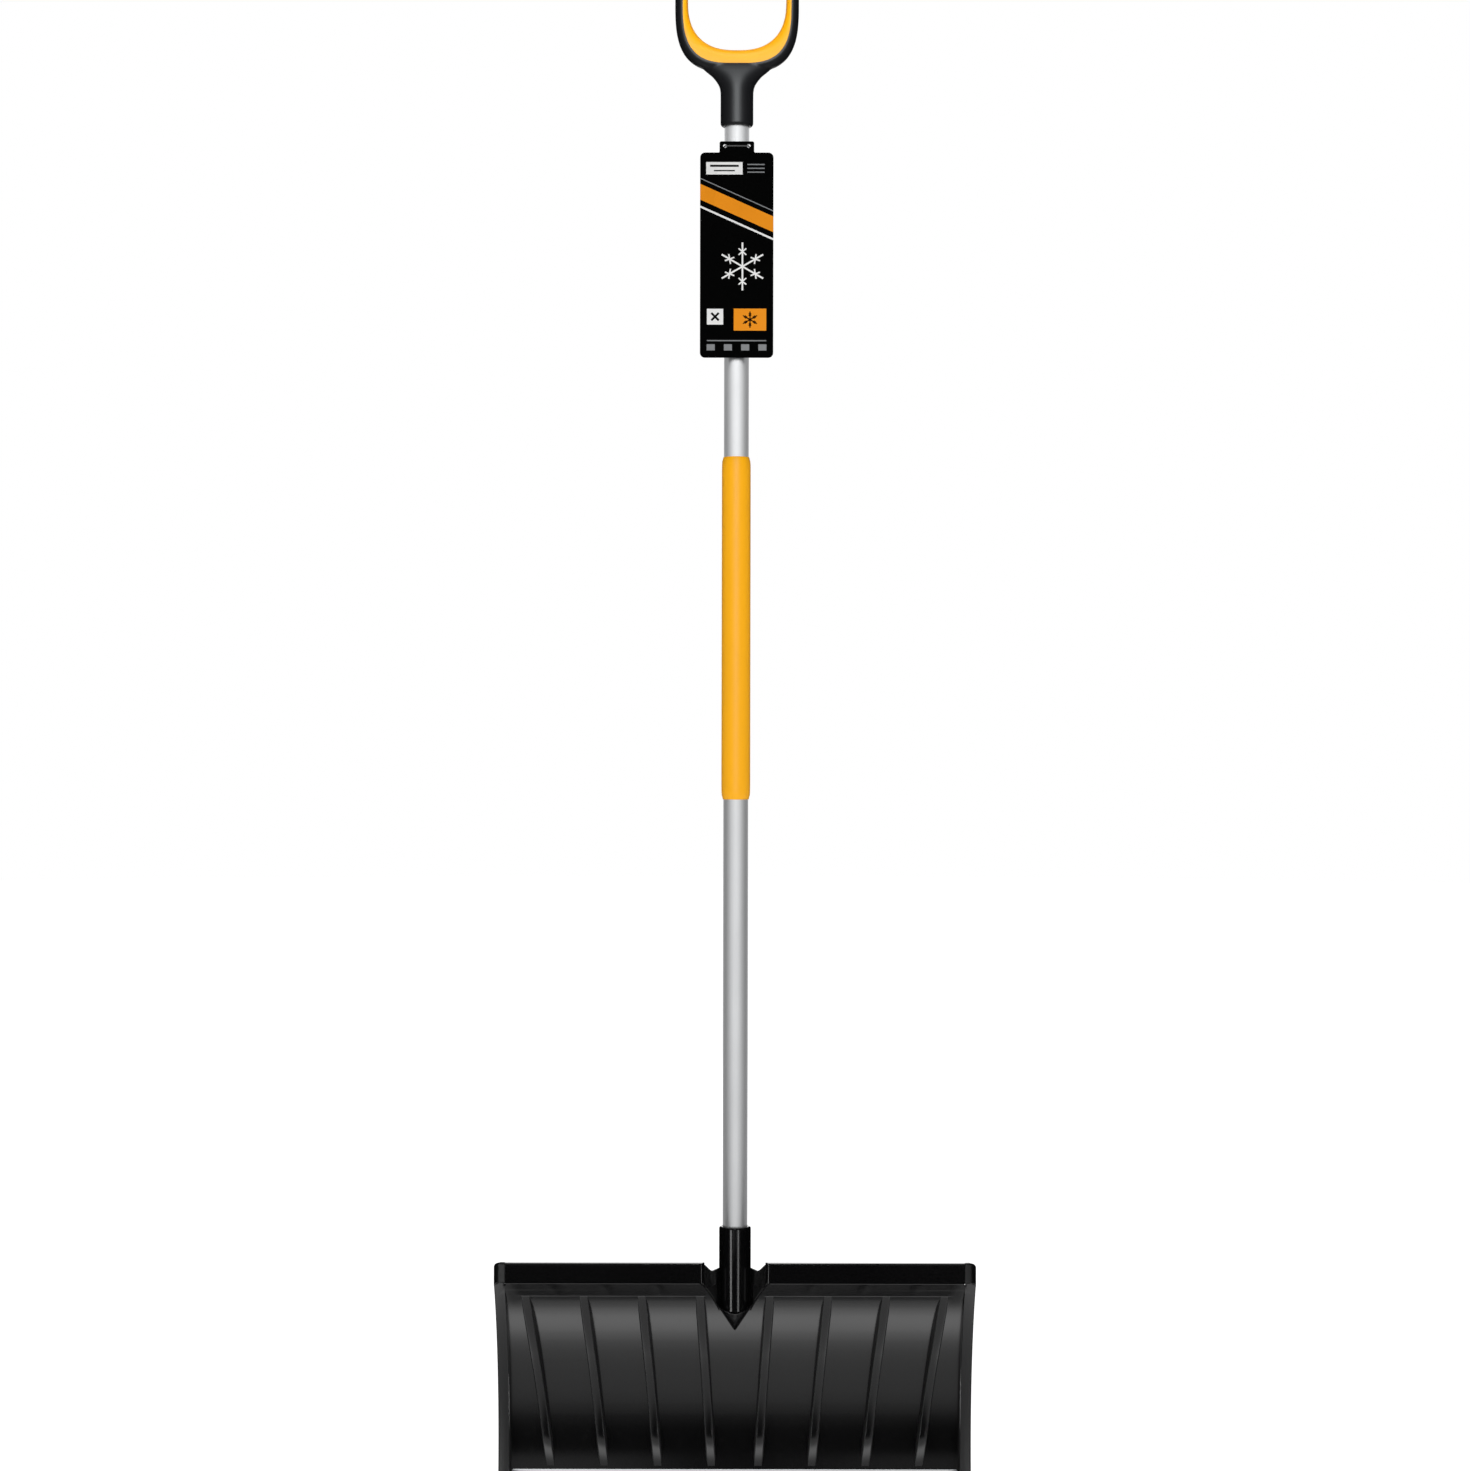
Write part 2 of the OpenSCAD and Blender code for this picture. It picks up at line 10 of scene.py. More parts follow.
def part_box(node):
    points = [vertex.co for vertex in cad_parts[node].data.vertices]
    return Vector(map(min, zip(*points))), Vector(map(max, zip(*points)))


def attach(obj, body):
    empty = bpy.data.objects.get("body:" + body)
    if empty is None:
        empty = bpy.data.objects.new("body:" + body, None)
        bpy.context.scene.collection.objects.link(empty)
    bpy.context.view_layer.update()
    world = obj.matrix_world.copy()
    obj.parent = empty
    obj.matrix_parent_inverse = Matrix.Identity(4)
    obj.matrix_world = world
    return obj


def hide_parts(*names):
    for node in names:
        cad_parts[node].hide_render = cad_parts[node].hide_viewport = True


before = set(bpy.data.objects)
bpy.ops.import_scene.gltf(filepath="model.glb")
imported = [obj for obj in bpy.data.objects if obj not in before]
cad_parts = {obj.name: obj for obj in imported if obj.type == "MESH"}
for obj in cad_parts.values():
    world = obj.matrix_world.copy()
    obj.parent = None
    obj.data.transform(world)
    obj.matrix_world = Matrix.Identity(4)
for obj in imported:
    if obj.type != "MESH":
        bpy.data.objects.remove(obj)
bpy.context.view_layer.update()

bl_info = {
    "name": "Snow Pusher",
    "version": (1, 0, 0),
    "blender": (4, 5, 0),
    "location": "3D View > Sidebar > Snow Pusher",
    "description": "Builds a snow pusher with its handle, tube, sleeve, blade, wear strip and hang tag",
    "category": "Add Mesh",
}

TUBE_LOW, TUBE_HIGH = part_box("shaft_tube")
SLEEVE_LOW, SLEEVE_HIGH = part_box("grip_sleeve")
HANDLE_LOW, HANDLE_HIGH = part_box("handle_frame")
BLADE_LOW, BLADE_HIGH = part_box("blade")
STRIP_LOW, STRIP_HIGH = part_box("wear_strip")
TAG_LOW, TAG_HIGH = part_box("hang_tag")
TIE_LOW, TIE_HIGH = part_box("tag_tie")
HANDLE_SCREW_LOW, HANDLE_SCREW_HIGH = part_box("handle_screw")
SOCKET_SCREW_LOW, SOCKET_SCREW_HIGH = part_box("socket_screw")

# what the tube, the sleeve and the screws need where they fit
BORE_GAP = 0.00005
SLEEVE_GAP = 0.00004
SEAT_R = 0.0041
SEAT_DEPTH = 0.0008
COLLAR_SCREW_Z = (HANDLE_SCREW_LOW.z + HANDLE_SCREW_HIGH.z) / 2
BLADE_SCREW_Z = (SOCKET_SCREW_LOW.z + SOCKET_SCREW_HIGH.z) / 2


# ---- Sizes and colours ----

def size(name, text, default):
    return bpy.props.FloatProperty(name=name, description=text, default=default, min=0,
                                   subtype="DISTANCE", unit="LENGTH", precision=4)


def colour(name, text, default):
    return bpy.props.FloatVectorProperty(name=name, description=text, default=default, size=3,
                                         min=0, max=1, subtype="COLOR")


class PusherSizes(bpy.types.PropertyGroup):
    tube_r: size("Tube radius", "Outside radius of the tube", (TUBE_HIGH.x - TUBE_LOW.x) / 2)
    tube_wall: size("Tube wall", "Wall of the tube", 0.0015)
    sleeve_r: size("Sleeve radius", "Outside radius of the soft sleeve", (SLEEVE_HIGH.x - SLEEVE_LOW.x) / 2)
    opening_w: size("Hand opening width", "Clear width of the hand opening", 0.103)
    opening_h: size("Hand opening height", "Clear height of the hand opening", 0.102)
    liner_side: size("Liner at the sides", "Thickness of the liner at the sides of the opening", 0.0055)
    liner_top: size("Liner at the top", "Thickness of the liner under the hand", 0.008)
    liner_low: size("Liner at the bottom", "Thickness of the liner at the foot of the opening", 0.0158)
    frame_side: size("Frame at the sides", "Thickness of the hard frame at the sides", 0.008)
    frame_top: size("Frame at the top", "Thickness of the hard frame over the hand", 0.017)
    frame_low: size("Frame at the bottom", "Thickness of the hard frame under the liner", 0.0069)
    handle_depth: size("Handle depth", "Depth of the handle from front to back", 0.026)
    collar_r: size("Collar radius", "Outside radius of the collar", 0.0172)
    collar_h: size("Collar height", "Height of the straight collar", 0.038)
    face_r: size("Face radius", "Radius of the hollow face", 0.210)
    wall: size("Blade wall", "Thickness of the blade's wall", 0.0035)
    lip_reach: size("Lip reach", "How far the flange stands before the shaft's axis", 0.049)
    belly: size("Belly", "How far the face's deepest line lies behind the shaft's axis", 0.044)
    flange_h: size("Flange height", "Height of the flat flange", 0.021)
    flange_return: size("Flange return", "How far the flange turns back at its ends", 0.020)
    flange_corner: size("Flange corner", "Radius of the flange's corners", 0.0095)
    side_band: size("Side band", "Width of the band down each side", 0.0115)
    side_step: size("Side step", "How far the side band stands proud of the face", 0.021)
    side_rim: size("Side rim", "Depth of the rim behind the side band", 0.015)
    toe_len: size("Foot length", "Length of the straight foot under the face", 0.021)
    rib_w: size("Rib width", "Width of a rib on the face", 0.0104)
    rib_h: size("Rib height", "How far a rib stands out of the face", 0.0125)
    rib_foot: size("Rib foot", "Length over which a rib rises at its foot", 0.036)
    rib_head: size("Rib head", "Length over which a rib rises at its head", 0.080)
    rib_first: size("First rib", "Distance of the first rib from the middle, at its foot", 0.0248)
    rib_pitch: size("Rib pitch", "Distance between the feet of two ribs", 0.057)
    socket_r: size("Socket radius", "Outside radius of the socket", 0.01665)
    socket_rise: size("Socket rise", "Height of the socket's rim over the flange", 0.031)
    notch_half: size("Half notch", "Half the width of the notch in the flange", 0.0333)
    funnel_dip: size("Funnel dip", "How far the funnel's walls stay below the flange", 0.0115)
    strip_t: size("Strip thickness", "Thickness of the steel strip", 0.0015)
    strip_h: size("Strip height", "Height of the steel strip", 0.025)


class PusherColours(bpy.types.PropertyGroup):
    grip: colour("Grip", "Orange of the sleeve and the liner", (0.87, 0.385, 0.003))
    handle: colour("Handle", "Black of the handle", (0.0042, 0.0042, 0.0048))
    blade: colour("Blade", "Black of the blade", (0.0022, 0.0022, 0.0024))
    tube: colour("Tube", "Grey of the anodised tube", (0.80, 0.81, 0.82))
    steel: colour("Steel", "Grey of the strip, rivets and screws", (0.62, 0.63, 0.65))
    plug: colour("Plug", "Cream of the plugs in the tube", (0.72, 0.66, 0.52))
    card: colour("Card", "Black of the card", (0.0012, 0.0012, 0.0012))
    card_orange: colour("Card orange", "Orange of the print on the card", (0.87, 0.29, 0.01))
    tie: colour("Tie", "Grey of the nylon tie", (0.10, 0.10, 0.10))


def sizes():
    return bpy.context.scene.pusher_sizes


def colours():
    return bpy.context.scene.pusher_colours


# ---- Working in edit mode ----

def chosen(*pieces):
    """Selects these pieces alone and makes the first of them active."""
    bpy.ops.object.select_all(action="DESELECT")
    for piece in pieces:
        piece.select_set(True)
    bpy.context.view_layer.objects.active = pieces[0]
    return pieces[0]


class Editing:
    """Edit mode on one piece, with nothing selected at first."""

    def __init__(self, piece):
        self.mesh = chosen(piece).data

    def __enter__(self):
        bpy.ops.object.mode_set(mode="EDIT")
        bpy.ops.mesh.select_mode(type="VERT")
        bpy.ops.mesh.select_all(action="DESELECT")
        return self

    def pick(self, kind, test):
        """Selects the verts or edges that pass the test, and only those."""
        bpy.ops.mesh.select_mode(type={"verts": "VERT", "edges": "EDGE"}[kind])
        bpy.ops.mesh.select_all(action="DESELECT")
        mesh = bmesh.from_edit_mesh(self.mesh)
        for part in getattr(mesh, kind):
            if test(part):
                part.select_set(True)
        mesh.select_flush_mode()
        bmesh.update_edit_mesh(self.mesh)

    def __exit__(self, *_):
        bpy.ops.object.mode_set(mode="OBJECT")


def start(add, name, **how):
    bpy.ops.object.select_all(action="DESELECT")
    add(**how)
    piece = bpy.context.object
    piece.name = piece.data.name = name
    return piece


def settle(piece):
    """Puts the piece's object at the origin, with its place in its mesh."""
    chosen(piece)
    bpy.ops.object.transform_apply(location=True, rotation=True, scale=True)
    return piece


def outward(piece):
    with Editing(piece):
        bpy.ops.mesh.select_all(action="SELECT")
        bpy.ops.mesh.remove_doubles(threshold=1e-6)
        bpy.ops.mesh.normals_make_consistent(inside=False)
    return piece


def smooth(piece, angle):
    chosen(piece)
    bpy.ops.object.shade_smooth_by_angle(angle=radians(angle))
    return piece


def applied(piece, kind, **settings):
    modifier = chosen(piece).modifiers.new(kind.lower(), kind)
    for key, value in settings.items():
        setattr(modifier, key, value)
    bpy.ops.object.modifier_apply(modifier=modifier.name)
    return piece


def softened(piece, angle):
    """Rounds all edges that are sharper than the angle."""
    return applied(piece, "BEVEL", width=0.0005, segments=3, limit_method="ANGLE", angle_limit=radians(angle))


def combined(piece, other, operation="UNION"):
    applied(piece, "BOOLEAN", object=other, operation=operation, solver="MANIFOLD")
    bpy.data.objects.remove(other)
    return piece


def joined(pieces):
    chosen(*pieces)
    bpy.ops.object.join()
    return pieces[0]


def rod(name, around, rings, place):
    """Round stock with closed ends: point i of ring k goes to place(i, k)."""
    piece = start(bpy.ops.mesh.primitive_cylinder_add, name, vertices=around, radius=1, depth=1,
                  end_fill_type="NGON")
    if rings > 2:
        with Editing(piece) as work:
            work.pick("edges", lambda e: abs(e.verts[0].co.z - e.verts[1].co.z) > 0.5)
            bpy.ops.mesh.subdivide(number_cuts=rings - 2)
    for v in piece.data.vertices:
        i = round(atan2(v.co.y, v.co.x) / tau * around) % around
        v.co = place(i, round((v.co.z + 0.5) * (rings - 1)))
    return outward(piece)


def hoop(name, along, around, place):
    """Round stock bent into a closed ring: place(u, v) for the angles along and around it."""
    piece = start(bpy.ops.mesh.primitive_torus_add, name, major_segments=along, minor_segments=around,
                  major_radius=1, minor_radius=0.25)
    for v in piece.data.vertices:
        v.co = place(atan2(v.co.y, v.co.x), atan2(v.co.z, hypot(v.co.x, v.co.y) - 1))
    return outward(piece)


def turned(name, profile, centre=(0, 0, 0), turn=None, steps=96):
    """A profile of (radius, height) points spun once round its axis, then turned and moved into place."""
    piece = start(bpy.ops.mesh.primitive_plane_add, name, size=1)
    with Editing(piece) as work:
        work.pick("verts", lambda v: v.co.x > 0 or v.co.y > 0)
        bpy.ops.mesh.delete(type="VERT")
        bpy.ops.mesh.select_all(action="SELECT")
        mesh = bmesh.from_edit_mesh(piece.data)
        for v in mesh.verts:
            v.co = (profile[0][0], 0, profile[0][1])
        bmesh.update_edit_mesh(piece.data)
        for (r0, z0), (r1, z1) in zip(profile, profile[1:]):
            bpy.ops.mesh.extrude_region_move(TRANSFORM_OT_translate={"value": (r1 - r0, 0, z1 - z0)})
        bpy.ops.mesh.select_all(action="SELECT")
        bpy.ops.mesh.spin(steps=steps, angle=tau, center=(0, 0, 0), axis=(0, 0, 1))
    outward(piece)
    piece.matrix_world = Matrix.Translation(centre) @ (turn or Matrix())
    return settle(piece)


def drum(name, r, low, high, edges=(0, 0), **how):
    """A solid round bar, with its lower and upper edge rounded."""
    line = rounded([(0, low, 0), (r, low, edges[0]), (r, high, edges[1]), (0, high, 0)])
    return turned(name, line, **how)


def plate(name, outline, thickness, edge, place, segments=3):
    """A flat plate from its outline, with all its rims rounded; place puts it where it goes."""
    n = len(outline)
    piece = start(bpy.ops.mesh.primitive_circle_add, name, vertices=n, radius=1, fill_type="NGON")
    for v in piece.data.vertices:
        p = outline[round(atan2(v.co.y, v.co.x) / tau * n) % n]
        v.co = (p[0], p[1], 0)
    with Editing(piece) as work:
        bpy.ops.mesh.select_all(action="SELECT")
        bpy.ops.mesh.extrude_region_move(TRANSFORM_OT_translate={"value": (0, 0, thickness)})
        if edge:
            work.pick("edges", lambda e: abs(e.verts[0].co.z - e.verts[1].co.z) < 1e-7)
            bpy.ops.mesh.bevel(offset=edge, segments=segments, affect="EDGES", clamp_overlap=True)
    outward(piece)
    piece.matrix_world = place
    return settle(piece)


def rounded(corners, steps=5, hold=0):
    """A closed line through corners (x, y, r), each rounded to its radius r.

    With hold, a point is kept that far beyond each end of a rounding, so the flats beside it stay flat.
    """
    points = []
    for i, (x, y, r) in enumerate(corners):
        here = Vector((x, y))
        if not r:
            points.append((x, y))
            continue
        back = (Vector(corners[i - 1][:2]) - here).normalized()
        on = (Vector(corners[(i + 1) % len(corners)][:2]) - here).normalized()
        half = acos(max(-1, min(1, back.dot(on)))) / 2
        middle = here + (back + on).normalized() * r / sin(half)
        first, last = here + back * r / (sin(half) / cos(half)), here + on * r / (sin(half) / cos(half))
        a, b = first - middle, last - middle
        bend = [middle + a.slerp(b, k / steps, a).normalized() * r for k in range(steps + 1)]
        if hold:
            bend = [first + back * hold, *bend, last + on * hold]
        points += [tuple(p) for p in bend]
    return points


def mix(a, b, t):
    return a + (b - a) * t


def ease(t):
    t = min(max(t, 0), 1)
    return t * t * (3 - 2 * t)


def finished(piece, finish):
    piece.data.materials.clear()
    piece.data.materials.append(finish_named(finish))


def done(piece, body, finish, node):
    """Gives a piece its finish, its body and the node that it stands for."""
    finished(piece, finish)
    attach(piece, body)
    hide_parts(node)
    return {"FINISHED"}


# ---- Finishes ----

def by_maths(operation, swapped=False):
    """A method that leads a signal through a maths node; swapped, the other value goes in first."""
    def method(self, *other):
        return self.maths(operation, *((*other, self) if swapped else (self, *other)))

    return method


class Signal:
    """A shader socket that is added, multiplied and compared like a number."""

    def __init__(self, finish, socket):
        self.finish, self.socket = finish, socket

    def maths(self, operation, *values):
        return self.finish.node("ShaderNodeMath", {"operation": operation}, dict(enumerate(values)))

    __add__ = __radd__ = by_maths("ADD")
    __mul__ = __rmul__ = by_maths("MULTIPLY")
    __sub__ = by_maths("SUBTRACT")
    __rsub__ = by_maths("SUBTRACT", True)
    __pow__ = by_maths("POWER")
    __abs__ = by_maths("ABSOLUTE")
    __gt__ = by_maths("GREATER_THAN")
    __lt__ = by_maths("LESS_THAN")


class Nodes:
    """Adds nodes to a node tree and links them."""

    def __init__(self, tree):
        self.tree = tree

    def node(self, kind, settings=None, inputs=None, output=0):
        made = self.tree.nodes.new(kind)
        for key, value in (settings or {}).items():
            if key == "stops":
                while len(made.color_ramp.elements) < len(value):
                    made.color_ramp.elements.new(0.5)
                for stop, (at, level) in zip(made.color_ramp.elements, value):
                    tint = level if isinstance(level, tuple) else (level, level, level)
                    stop.position, stop.color = at, (*tint, 1)
            else:
                setattr(made, key, value)
        for key, value in (inputs or {}).items():
            if isinstance(value, Signal):
                self.tree.links.new(value.socket, made.inputs[key])
            else:
                made.inputs[key].default_value = value
        return Signal(self, made.outputs[output])

    def where(self, of="Object"):
        return self.node("ShaderNodeTexCoord", output=of)

    def axes(self, of="Object"):
        """The three parts of a place, or of the piece's own direction outwards (Normal)."""
        split = self.node("ShaderNodeSeparateXYZ", inputs={0: self.where(of)})
        return [Signal(self, part) for part in split.socket.node.outputs]

    def noise(self, scale, stretch=(1, 1, 1), detail=3, rough=0.5):
        where = self.node("ShaderNodeMapping", inputs={"Vector": self.where(), "Scale": stretch})
        return self.node("ShaderNodeTexNoise", inputs={"Vector": where, "Scale": scale, "Detail": detail,
                                                       "Roughness": rough})

    def ramp(self, signal, *stops):
        """A signal led through stops of (place, level or colour)."""
        return self.node("ShaderNodeValToRGB", {"stops": stops}, {0: signal})

    def blend(self, factor, a, b):
        """A colour between a and b, each a colour or a signal."""
        a, b = (c if isinstance(c, Signal) else (*c, 1) for c in (a, b))
        return self.node("ShaderNodeMix", {"data_type": "RGBA"}, {0: factor, 6: a, 7: b}, output=2)

    def bump(self, height, distance, strength=1.0):
        return self.node("ShaderNodeBump", inputs={"Height": height, "Distance": distance,
                                                   "Strength": strength})


class Finish(Nodes):
    """One material on the object's own coordinates, in metres."""

    def __init__(self, name, **constants):
        self.material = bpy.data.materials.new(name)
        self.material.use_nodes = True
        super().__init__(self.material.node_tree)
        self.skin = self.tree.nodes["Principled BSDF"]
        for key, value in constants.items():
            self.skin.inputs[key.replace("_", " ")].default_value = value

    def feed(self, **links):
        for key, signal in links.items():
            self.tree.links.new(signal.socket, self.skin.inputs[key.replace("_", " ")])
        return self.material


def shade(c, k):
    return tuple(min(1, x * k) for x in c)


def moulded(name, base, rough, spread, grain, flow, wear_and_sheen=None):
    """Moulded plastic: faint flow marks, fine grain and light scratches in its gloss."""
    f = Finish(name, Specular_IOR_Level=0.5)
    marks = f.noise(9, (1, 1, 0.35), 3)
    fine = f.noise(900, detail=2)
    scratch = f.ramp(f.noise(160, (1, 0.06, 1), 4, 0.65), (0.60, 0), (0.66, 1))
    tint = f.blend(marks, shade(base, 0.8), shade(base, 1.25))
    gloss = rough + (marks - 0.5) * spread + scratch * (spread * 0.6)
    # the function given here changes the gloss, and for the blade also paints the side bands lighter, a
    # painted reflection
    if wear_and_sheen:
        tint, gloss = wear_and_sheen(f, base, tint, gloss)
    return f.feed(Base_Color=tint, Roughness=gloss,
                  Normal=f.bump(fine * grain + marks * flow + scratch * (-0.1 * grain), 0.001))


def blade_rub_and_painted_sheen(f, base, tint, gloss):
    """Duller on the ribs' flanks, and on the side bands and the corners, which rub on walls. The side bands
    are also painted lighter in colour: a painted reflection, not wear.
    """
    b = BladeShape()
    x, _, z = f.axes()
    flange = z > b.crease_z - 0.0005
    band = (abs(x) > b.face_half + 0.0003) * (1 - flange)
    corner = (abs(x) > b.face_half - 0.0006) * flange
    face = (abs(x) > 0.019) * (abs(x) < b.face_half - 0.006) * (z < b.crease_z - 0.006)
    flank = (abs(f.axes("Normal")[0]) > 0.35) * face
    # the side bands' colour is lifted to 2.6 times the base: painted reflection; the gloss changes stand for
    # real rubbing
    return f.blend(band, tint, shade(base, 2.6)), gloss + band * 0.22 + flank * 0.40 + corner * 0.28


def rubber(name, base):
    """Soft orange rubber: fine matt grain, slightly deeper where hands and dust have been."""
    f = Finish(name, Specular_IOR_Level=0.35)
    cloud = f.noise(14, (1, 1, 0.4), 4, 0.6)
    grain = f.noise(1400, detail=2)
    specks = f.ramp(f.noise(420, detail=1), (0.70, 0), (0.76, 1))
    return f.feed(Base_Color=f.blend(cloud * 0.5 + specks * 0.25, base, shade(base, 0.82)),
                  Roughness=0.38 + (cloud - 0.5) * 0.12,
                  Normal=f.bump(grain, 0.0001, 0.6))


def drawn(name, base, rough, along, scale=260):
    """Metal with fine lines left by drawing or rolling along one direction."""
    f = Finish(name, Metallic=1)
    lines = f.noise(scale, along, 5, 0.7)
    cloud = f.noise(12, detail=3)
    nicks = f.ramp(f.noise(700, detail=2), (0.72, 0), (0.78, 1))
    return f.feed(Base_Color=f.blend(lines * 0.6 + cloud * 0.3, shade(base, 1.06), shade(base, 0.86)),
                  Roughness=rough + (lines - 0.5) * 0.16 + (cloud - 0.5) * 0.10 + nicks * 0.12,
                  Normal=f.bump(lines - nicks * 0.5, 0.00004, 0.5))


def printed_card(name):
    """Coated card with a plain pattern: slanted stripes, a large snow star and two rows of blocks."""
    c = colours()
    f = Finish(name, Specular_IOR_Level=0.2)
    x, _, z = f.axes()
    top = TAG_HIGH.z - 0.0146

    def bar(cx, cz, length, width, angle=0):
        """A bar about a point across from the middle and down from the top, turned by an angle."""
        a = radians(angle)
        across, up = x - cx, z - (top - cz)
        along, off = across * cos(a) + up * sin(a), up * cos(a) - across * sin(a)
        return (abs(along) < length / 2) * (abs(off) < width / 2)

    def any_of(masks):
        total = masks[0]
        for m in masks[1:]:
            total = total.maths("MAXIMUM", total, m)
        return total

    def star(cx, cz, r, width):
        arms = [bar(cx, cz, 2 * r, width, a) for a in (30, 90, 150)]
        for a in range(30, 390, 60):
            at = 0.62 * r
            arms += [bar(cx + at * cos(radians(a)), cz - at * sin(radians(a)), 0.42 * r, width * 0.8, a + t)
                     for t in (50, -50)]
        return any_of(arms)

    long, slant = 0.12, -24
    orange = any_of([bar(0, 0.058, long, 0.0150, slant), bar(0.014, 0.1745, 0.0340, 0.0230)])
    white = any_of([bar(0, 0.0735, long, 0.0020, slant), bar(-0.0130, 0.0165, 0.0380, 0.0130),
                    bar(-0.0225, 0.1715, 0.0170, 0.0165), star(0.0060, 0.1190, 0.0250, 0.0018)])
    grey = any_of([bar(0, 0.0440, long, 0.0010, slant), bar(0, 0.1965, 0.0620, 0.0012)]
                  + [bar(0.0200, 0.0125 + n * 0.0040, 0.0180, 0.0012) for n in range(3)]
                  + [bar(-0.027 + n * 0.018, 0.2035, 0.0085, 0.0065) for n in range(4)])
    dark = any_of([bar(-0.0130, 0.0140, 0.0300, 0.0022), bar(-0.0130, 0.0190, 0.0220, 0.0014),
                   star(0.0140, 0.1745, 0.0085, 0.0013)]
                  + [bar(-0.0225, 0.1715, 0.0110, 0.0022, way * 45) for way in (1, -1)])
    fibre = f.noise(500, detail=3)
    tint = f.blend(orange, f.blend(fibre, shade(c.card, 0.8), shade(c.card, 1.3)), c.card_orange)
    tint = f.blend(grey * 0.75, tint, (0.32, 0.33, 0.34))
    tint = f.blend(white, tint, (0.86, 0.86, 0.85))
    tint = f.blend(dark, tint, shade(c.card, 1.5))
    front = f.axes("Normal")[1] < -0.5
    return f.feed(Base_Color=f.blend(front, shade(c.card, 1.6), tint),
                  Roughness=0.42 + (fibre - 0.5) * 0.2 + white * 0.12,
                  Normal=f.bump(fibre, 0.00003, 0.5))


def finish_named(name):
    """Each finish is made once, when the first piece asks for it."""
    found = bpy.data.materials.get(name)
    if found:
        return found
    c = colours()
    make = {
        "handle_satin": lambda: moulded(name, c.handle, 0.40, 0.06, 0.030, 0.0),
        "blade_gloss": lambda: moulded(name, c.blade, 0.16, 0.06, 0.006, 0.02, blade_rub_and_painted_sheen),
        "grip_rubber": lambda: rubber(name, c.grip),
        "tube_anodised": lambda: drawn(name, c.tube, 0.42, (1, 1, 0.012)),
        "strip_rolled": lambda: drawn(name, c.steel, 0.34, (0.02, 1, 1)),
        "bright_steel": lambda: drawn(name, shade(c.steel, 1.1), 0.28, (1, 1, 1), 500),
        "plug_cream": lambda: moulded(name, c.plug, 0.5, 0.08, 0.05, 0.1),
        "tie_nylon": lambda: moulded(name, c.tie, 0.35, 0.1, 0.02, 0.0),
        "card_print": lambda: printed_card(name),
    }
    return make[name]()


# ---- Shapes that several pieces share ----

TOE_ANGLE = radians(11.5)
SQUARE = 3.2        # how square the handle's shoulders are: 2 would be an ellipse


def upright(y):
    """Stands a plate that is drawn flat up behind the plane at y, its thickness towards the front."""
    return Matrix(((1, 0, 0, 0), (0, 0, -1, y), (0, 1, 0, 0), (0, 0, 0, 1)))


def bored(piece, low, high, steps):
    """Cuts the bore for the tube."""
    return combined(piece, drum("bore", sizes().tube_r + BORE_GAP, low, high, steps=steps), "DIFFERENCE")


def seated(piece, wall_r, z):
    """Cuts the flat seat for a screw's head into the back of a round wall."""
    seat = drum("seat", SEAT_R, 0, 0.004, centre=(0, wall_r - SEAT_DEPTH, z),
                turn=Matrix.Rotation(-pi / 2, 4, "X"), steps=32)
    return combined(piece, seat, "DIFFERENCE")


def spow(v, p):
    return (1 if v >= 0 else -1) * abs(v) ** p


def oval(t, a, top, low, square_low=SQUARE):
    """A closed curve with square shoulders about the middle height of the hand opening."""
    middle = -0.49 * sizes().opening_h
    n, b = (SQUARE, top - middle) if sin(t) >= 0 else (square_low, middle - low)
    return Vector((a * spow(cos(t), 2 / n), middle + b * spow(sin(t), 2 / n)))


def opening_at(t):
    s = sizes()
    return oval(t, s.opening_w / 2, 0, -s.opening_h, 2.5)


def joint_at(t):
    s = sizes()
    return oval(t, s.opening_w / 2 + s.liner_side, s.liner_top, -s.opening_h - s.liner_low)


def outside_at(t):
    s = sizes()
    return oval(t, s.opening_w / 2 + s.liner_side + s.frame_side, s.liner_top + s.frame_top,
                -s.opening_h - s.liner_low - s.frame_low)


class BladeShape:
    """Heights and arcs that the forms of the blade share."""

    def __init__(self):
        s = sizes()
        self.half = (BLADE_HIGH.x - BLADE_LOW.x) / 2
        self.face_half = self.half - s.side_band
        self.lip_z = BLADE_HIGH.z - s.socket_rise
        self.crease_z = self.lip_z - s.flange_h
        rise = s.lip_reach + s.belly
        self.deep_z = self.crease_z - sqrt(s.face_r ** 2 - (s.face_r - rise) ** 2)
        self.lip_y = -s.lip_reach
        self.axis_y = s.belly - s.face_r
        self.top_a = acos((s.face_r - rise) / s.face_r)
        side_low, side_back = 0.008, 0.005
        self.side_z = self.deep_z - side_low
        side_h, side_rise = self.crease_z - self.side_z, rise - side_back - s.side_step
        self.side_r = (side_h ** 2 + side_rise ** 2) / (2 * side_rise)
        self.side_y = s.belly - s.side_step - self.side_r
        self.down = Vector((-sin(TOE_ANGLE), -cos(TOE_ANGLE)))      # along the foot
        self.toe_low = self.on_toe(0, s.toe_len)
        self.rib_arc = (radians(-9.8), radians(48.5))
        self.socket_low = TUBE_LOW.z - 0.008
        self.notch_end = Vector((0.86, -0.40)) * s.socket_r     # where the notch's walls meet the socket

    def on_face(self, a, r):
        return Vector((self.axis_y + r * cos(a), self.deep_z + r * sin(a)))

    def on_toe(self, back, down):
        """A point of the straight foot: behind its front and down along it."""
        return self.on_face(-TOE_ANGLE, sizes().face_r + back) + self.down * down

    def face_y(self, z):
        return self.axis_y + sqrt(sizes().face_r ** 2 - (z - self.deep_z) ** 2)

    def face_z(self, y, r):
        return self.deep_z + sqrt(r * r - (y - self.axis_y) ** 2)


# ---- The handle ----

